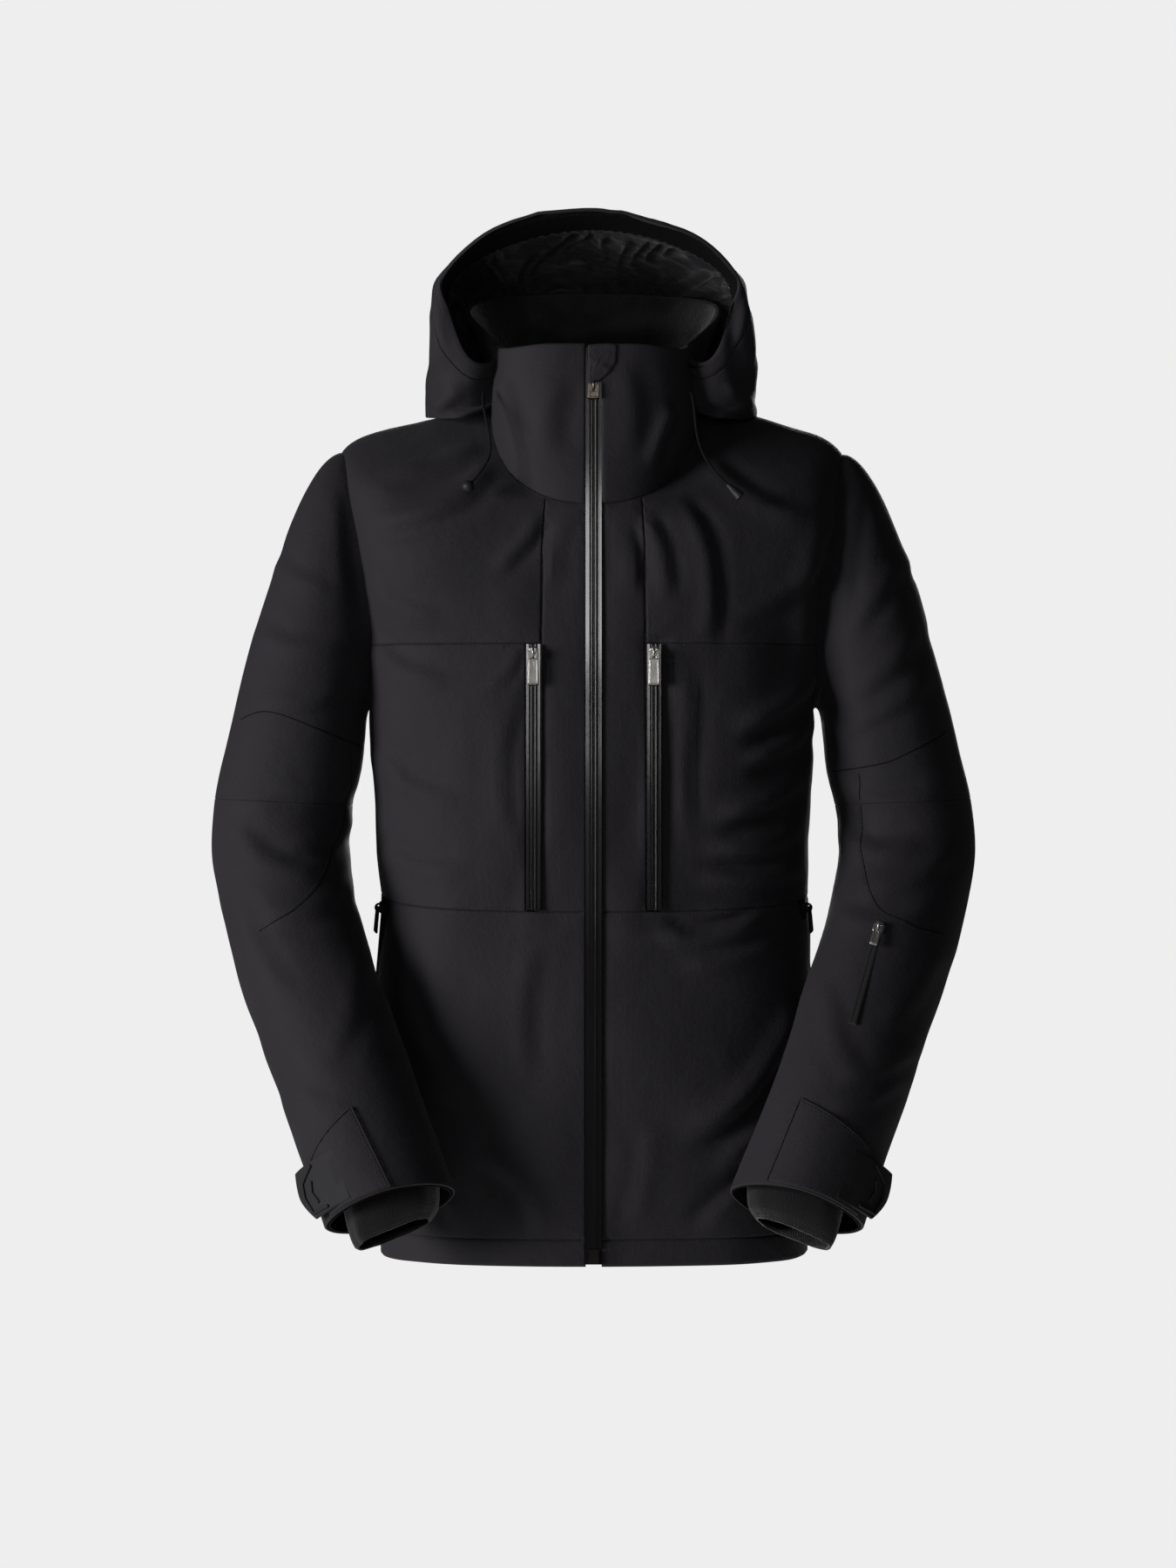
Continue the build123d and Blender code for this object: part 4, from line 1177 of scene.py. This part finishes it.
def rounded(width, top, bottom, radius, narrow=0.0):
    """Outline of a rounded plate, from a distance above its bar to one below; narrow slims its top."""
    points = []
    for cx, cy, start, slim in ((1, 1, 0, 0), (-1, 1, 90, 0), (-1, -1, 180, narrow), (1, -1, 270, narrow)):
        half = width / 2 - slim - radius
        y = (bottom - radius) if cy > 0 else (top + radius)
        for k in range(CORNER_STEPS + 1):
            angle = math.radians(start + 90 * k / CORNER_STEPS)
            points.append((cx * half + radius * math.cos(angle), y + radius * math.sin(angle)))
    return points


def make_slider(z):
    """Slider: a shaped top plate, its cheeks and the bridge that holds the pull's bar."""
    mesher = Mesher()
    face = z.slider
    shape = rounded(9.8, -5.4, 5.4, 2.4, narrow=0.9)
    slab(mesher, z, shape, 2.95, 4.7, 0.6, origin=face, dome=0.15)
    slab_pair(mesher, z, 4.9, 3.5, -3.4, 3.4, 0.5, 3.1, 0.2, origin=face)
    arch = np.array([(0, -3.6, 4.2), (0, -3.4, 6.6), (0, -2.4, 8.4), (0, -0.6, 9.2), (0, 1.2, 8.9),
                     (0, 2.8, 7.6), (0, 3.7, 5.6), (0, 4.1, 4.2)], float)
    path = z.place(smooth_path(arch, 22), face)
    tube(mesher, path, 1.05, z.x, sides=10)
    hand_over(mesher, "metal_" + z.name + "_slider", [z.metal],
              z.name + "_slider", z.slot, z.name + "_zip_slider")


PULL_TWIST = {"chest_right": -0.10, "chest_left": 0.16}      # how far each hangs out of true


def make_pull(z, length, width):
    """Pull: its bar, two arms and a plate with a raised rim."""
    mesher = Mesher()
    bar = z.place(np.array([(-3.1, 0, 0), (-1, 0, 0), (1, 0, 0), (3.1, 0, 0)], float), z.bar)
    tube(mesher, bar, 0.95, z.out, sides=10)
    twist = PULL_TWIST.get(z.name, 0.0)
    slab_pair(mesher, z, width / 2 - 0.3, 1.6, -1.8, 7.0, -0.8, 0.55, 0.4, twist=twist)
    plate = rounded(width, 5.0, length, 1.5, narrow=0.3)
    slab(mesher, z, plate, -0.8, 0.55, 0.45, twist=twist)
    rim = np.array(rounded(width - 2.6, 6.3, length - 1.3, 0.9, narrow=0.3))
    rim = np.r_[rim, rim[:1]]
    ring = z.place(np.c_[rim, 0.6 + twist * rim[:, 0]], z.bar)
    tube(mesher, ring, 0.42, z.out, sides=6)
    hand_over(mesher, "metal_" + z.name + "_pull", [z.metal], z.name + "_pull", z.slot, z.name + "_zip_pull")


ZIPS = {"main": (35, 12, 10.5), "chest_right": (8, 29, 10), "chest_left": (8, 29, 10),
        "hand_right": (8, 24, 8), "hand_left": (8, 24, 8), "sleeve_pocket": (8, 20, 7.5)}
HOLDERS = {"sleeve_pocket": "forearm_left"}
ZIP_FINISHES = {"hand_right": GROOVE_SHADE, "hand_left": GROOVE_SHADE, "sleeve_pocket": THREAD}
for name, (above, pull_length, pull_width) in ZIPS.items():
    z = Zip(name, above)
    mesher = Mesher()
    half_width = {"main": 7.2, "sleeve_pocket": 3.6}.get(name, 6.2)
    zip_strip(mesher, z, half_width)
    if name == "main":
        # a tape behind the box, down to the hem
        top, end = z.length - 8, z.length + 14
        tape = [(half_width, end), (-half_width, end), (-half_width, top), (half_width, top)]
        slab(mesher, z, tape, -3.4, -1.2, 0.3, origin=z.top)
    hand_over(mesher, "zip_strip_" + name, [ZIP_FINISHES.get(name, LAMINATE)],
              HOLDERS.get(name, "torso"), "zip_coil", name + "_zip_tape")
    make_slider(z)
    make_pull(z, pull_length, pull_width)

# the zip's garage at the top, a folded flap of shell over the slider's parking place
garage_outline = smooth_path([(-5, 57), (8, 58), (20.5, 57), (21, 48), (20, 40), (8, 26), (-3.6, 22),
                              (-5, 34), (-5, 46), (-5, 57)], 64)[:-1]
mesher = Mesher()
grown = []
middle = garage_outline.mean(axis=0)
for inset, proud in ((0.0, 3.2), (0.0, 5.2), (0.6, 6.2), (1.6, 6.8), (3.2, 6.9), (6.0, 7.0), (9.0, 7.4)):
    reach = np.linalg.norm(garage_outline - middle, axis=1, keepdims=True)
    ring = middle + (garage_outline - middle) * np.maximum(0.0, 1 - inset / reach)
    crease = 0.9 * np.exp(-(((ring[:, 0] + 2) * 0.55 + (ring[:, 1] - 44) * 0.83) / 3.0) ** 2)
    grown.append(np.c_[ring[:, 0], front_y(ring[:, 1]) - proud - crease, ring[:, 1]])
grown = np.array(grown)
mesher.bar(grown, 0, grown[..., [0, 2]], flip=True)
inner_line = middle + (garage_outline - middle) * 0.8
stitch_path = np.c_[inner_line[:, 0], front_y(inner_line[:, 1]) - 7.0, inner_line[:, 1]]
stitch_path = np.r_[stitch_path, stitch_path[:1]]
stitch_row(mesher, stitch_path, np.tile([0, -1.0, 0.06], (len(stitch_path), 1)), 1)
hand_over(mesher, "cloth_zip_garage", [SHELL, THREAD], "torso", "shell_fabric", "zip_garage")


# ---------------------------------------------------------------- cuff tabs and gaiters
# the soft inner cuff hangs out of each sleeve's mouth and closes on itself: centre, half width, half depth
GAITER = [((-180, -236, -678), 46, 40), ((-178, -246, -698), 44, 35), ((-176, -254, -713), 42, 29),
          ((-175, -259, -722), 40, 22), ((-175, -261, -728), 37, 17), ((-175, -262, -731), 34, 15)]
GAITER_DROP = np.array([0.93, 0.10, 0.36])      # the way its flattened end lies
for side, name in SIDES:
    turn = np.linspace(0, 2 * math.pi, 97)[:-1]
    share = np.linspace(0, 1, 44)
    knots = np.linspace(0, 1, len(GAITER))
    sizes = hermite_weights(knots, share) @ np.array([[*c, w, d] for c, w, d in GAITER], float)
    lean = smooth_step((share - 0.3) / 0.6)[:, None]
    wide = FOREARM_X * (1 - lean) + GAITER_DROP * lean
    ripple = 1 + (0.020 * np.sin(turn * 5 + 1.3 + side) + 0.013 * np.sin(turn * 9 + 2 * side))[None] * (
        0.4 + share[:, None])
    cosine, sine = signed_power(np.cos(turn), 0.8), signed_power(np.sin(turn), 0.8)
    rows = (sizes[:, None, :3] + cosine[None, :, None] * (wide * sizes[:, 3:4])[:, None] * ripple[..., None]
            + sine[None, :, None] * (FOREARM_BACK * sizes[:, 4:5])[:, None] * ripple[..., None])
    centres = sizes[:, None, :3]
    inner = centres + (rows - centres) * (1 - 1.8 / np.linalg.norm(rows - centres, axis=2, keepdims=True))
    if side > 0:
        rows, inner = rows * (-1, 1, 1), inner * (-1, 1, 1)
    flat = np.stack(np.meshgrid(turn * 40, share * 70), axis=-1)
    gaiter = Mesher()
    gaiter.grid(rows, 0, flat, close_u=True, flip=side < 0)
    gaiter.grid(inner, 0, flat, close_u=True, flip=side > 0)
    for line in (0, -1):
        gaiter.rim(rows[line], inner[line], flat[line], (line == 0) == (side < 0), close_u=True)
    for line in (-6, -8):
        loop = np.concatenate([rows[line], rows[line][:1]])
        stitch_row(gaiter, loop, loop - np.concatenate([inner[line], inner[line][:1]]), 1)
    hand_over(gaiter, "knit_gaiter_" + name, [KNIT_SHADED, THREAD],
              "forearm_" + name, "gaiter_knit", "wrist_gaiter_" + name)


# ---------------------------------------------------------------- the hood's cords
CORD_ROUTES = {
    "right": [(-.099, -.1512, .016), (-.100, -.164, .008), (-.097, -.172, -.007), (-.093, -.175, -.024),
              (-.092, -.177, -.041), (-.099, -.179, -.055), (-.109, -.1805, -.067)],
    "left": [(.088, -.1512, .016), (.090, -.164, .007), (.091, -.172, -.009), (.093, -.175, -.027),
             (.099, -.177, -.044), (.109, -.179, -.058), (.120, -.1805, -.069)],
}
CORD_DIAMETER = 0.0025
for name, route in CORD_ROUTES.items():
    curve = bpy.data.curves.new("cord_" + name, "CURVE")
    curve.dimensions = "3D"
    curve.bevel_depth = CORD_DIAMETER / 2
    curve.bevel_resolution = 5
    curve.resolution_u = 16
    curve.use_fill_caps = True
    spline = curve.splines.new("NURBS")
    spline.points.add(len(route) - 1)
    for point, where in zip(spline.points, route):
        point.co = (*where, 1)
    spline.order_u = 3
    spline.use_endpoint_u = True
    cord = add_object("cord_" + name, curve)
    curve.materials.append(CORD)
    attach(cord, "hood")
    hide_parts("hood_cord_" + name)


# ---------------------------------------------------------------- finishes on the frame's own pieces
for node, finish in (("hanger_loop", LOOP), ("main_zip_box", BOX_METAL),
                     ("cord_end_right", RUBBER), ("cord_end_left", RUBBER)):
    slots = frame["nodes"][node].data.materials
    slots.clear()
    slots.append(finish)


# ---------------------------------------------------------------- the room, the light and the camera
def light(name, kind, place, target, power, **settings):
    data = bpy.data.lights.new(name, kind)
    data.energy = power
    for setting, value in settings.items():
        setattr(data, setting, value)
    lit = add_object(name, data)
    lit.location = place
    lit.rotation_euler = (Vector(target) - Vector(place)).to_track_quat("-Z", "Y").to_euler()


def lamp(name, place, target, size, power, tall=None):
    light(name, "AREA", place, target, power, shape="RECTANGLE", size=size, size_y=tall or size)


def spot(name, place, target, power, cone, blend, radius):
    light(name, "SPOT", place, target, power, spot_size=math.radians(cone), spot_blend=blend,
          shadow_soft_size=radius)


lamp("key", (-3.42, -1.94, -0.05), (0, -0.1, -0.36), 1.4, 114)
lamp("fill", (2.2, -3.2, -0.6), (0, 0, -0.4), 1.6, 1.2)
lamp("softbox", (-0.14, -3.9, 0.46), (0, -0.17, -0.3), 0.50, 7, tall=0.34)
lamp("behind", (0.4, 3.4, 0.6), (0, 0, -0.3), 1.8, 150)
spot("hood_glow", (-1.25, -3.0, -0.42), (0, -0.04, 0.11), 36, cone=6.0, blend=0.8, radius=0.12)
spot("floor_light", (0, -0.08, -0.74), (0, -0.08, -2.0), 9, cone=150, blend=0.6, radius=0.02)

world = bpy.data.worlds.new("studio")
world.use_nodes = True
bpy.context.scene.world = world
nodes, links = world.node_tree.nodes, world.node_tree.links
put(nodes["Background"], Color=(0.855, 0.855, 0.855, 1))
dim = nodes.new("ShaderNodeBackground")
put(dim, Color=(0.85, 0.86, 0.88, 1), Strength=0.035)
seen = nodes.new("ShaderNodeLightPath")
mix = nodes.new("ShaderNodeMixShader")
links.new(seen.outputs["Is Camera Ray"], mix.inputs["Fac"])
links.new(dim.outputs["Background"], mix.inputs[1])
links.new(nodes["Background"].outputs["Background"], mix.inputs[2])
links.new(mix.outputs["Shader"], nodes["World Output"].inputs["Surface"])

# a round floor well below the jacket, which hangs in the air as in a studio
FLOOR_DROP, FLOOR_RADIUS = 0.6, 1.1
low = cad_box[0][2] - FLOOR_DROP
turn = [2 * math.pi * k / 96 for k in range(96)]
floor_mesh = bpy.data.meshes.new("floor")
floor_mesh.from_pydata([(FLOOR_RADIUS * math.cos(a), FLOOR_RADIUS * math.sin(a), low) for a in turn], [],
                       [tuple(range(96))])
floor = add_object("floor", floor_mesh)
floor_mesh.materials.append(material("floor", (0.84, 0.84, 0.84), 0.9, bumps=((40, 0.0002),),
                                     variation=0.01, specular=0.1))

camera_data = bpy.data.cameras.new("camera")
camera_data.sensor_fit = "VERTICAL"
camera_data.sensor_height = 24
camera_data.lens = 65.33
camera = add_object("camera", camera_data)
camera.location = (-0.005, -4.0, -0.337)
camera.rotation_euler = (math.pi / 2, 0, 0)
bpy.context.scene.camera = camera
bpy.context.scene.view_settings.view_transform = "Standard"
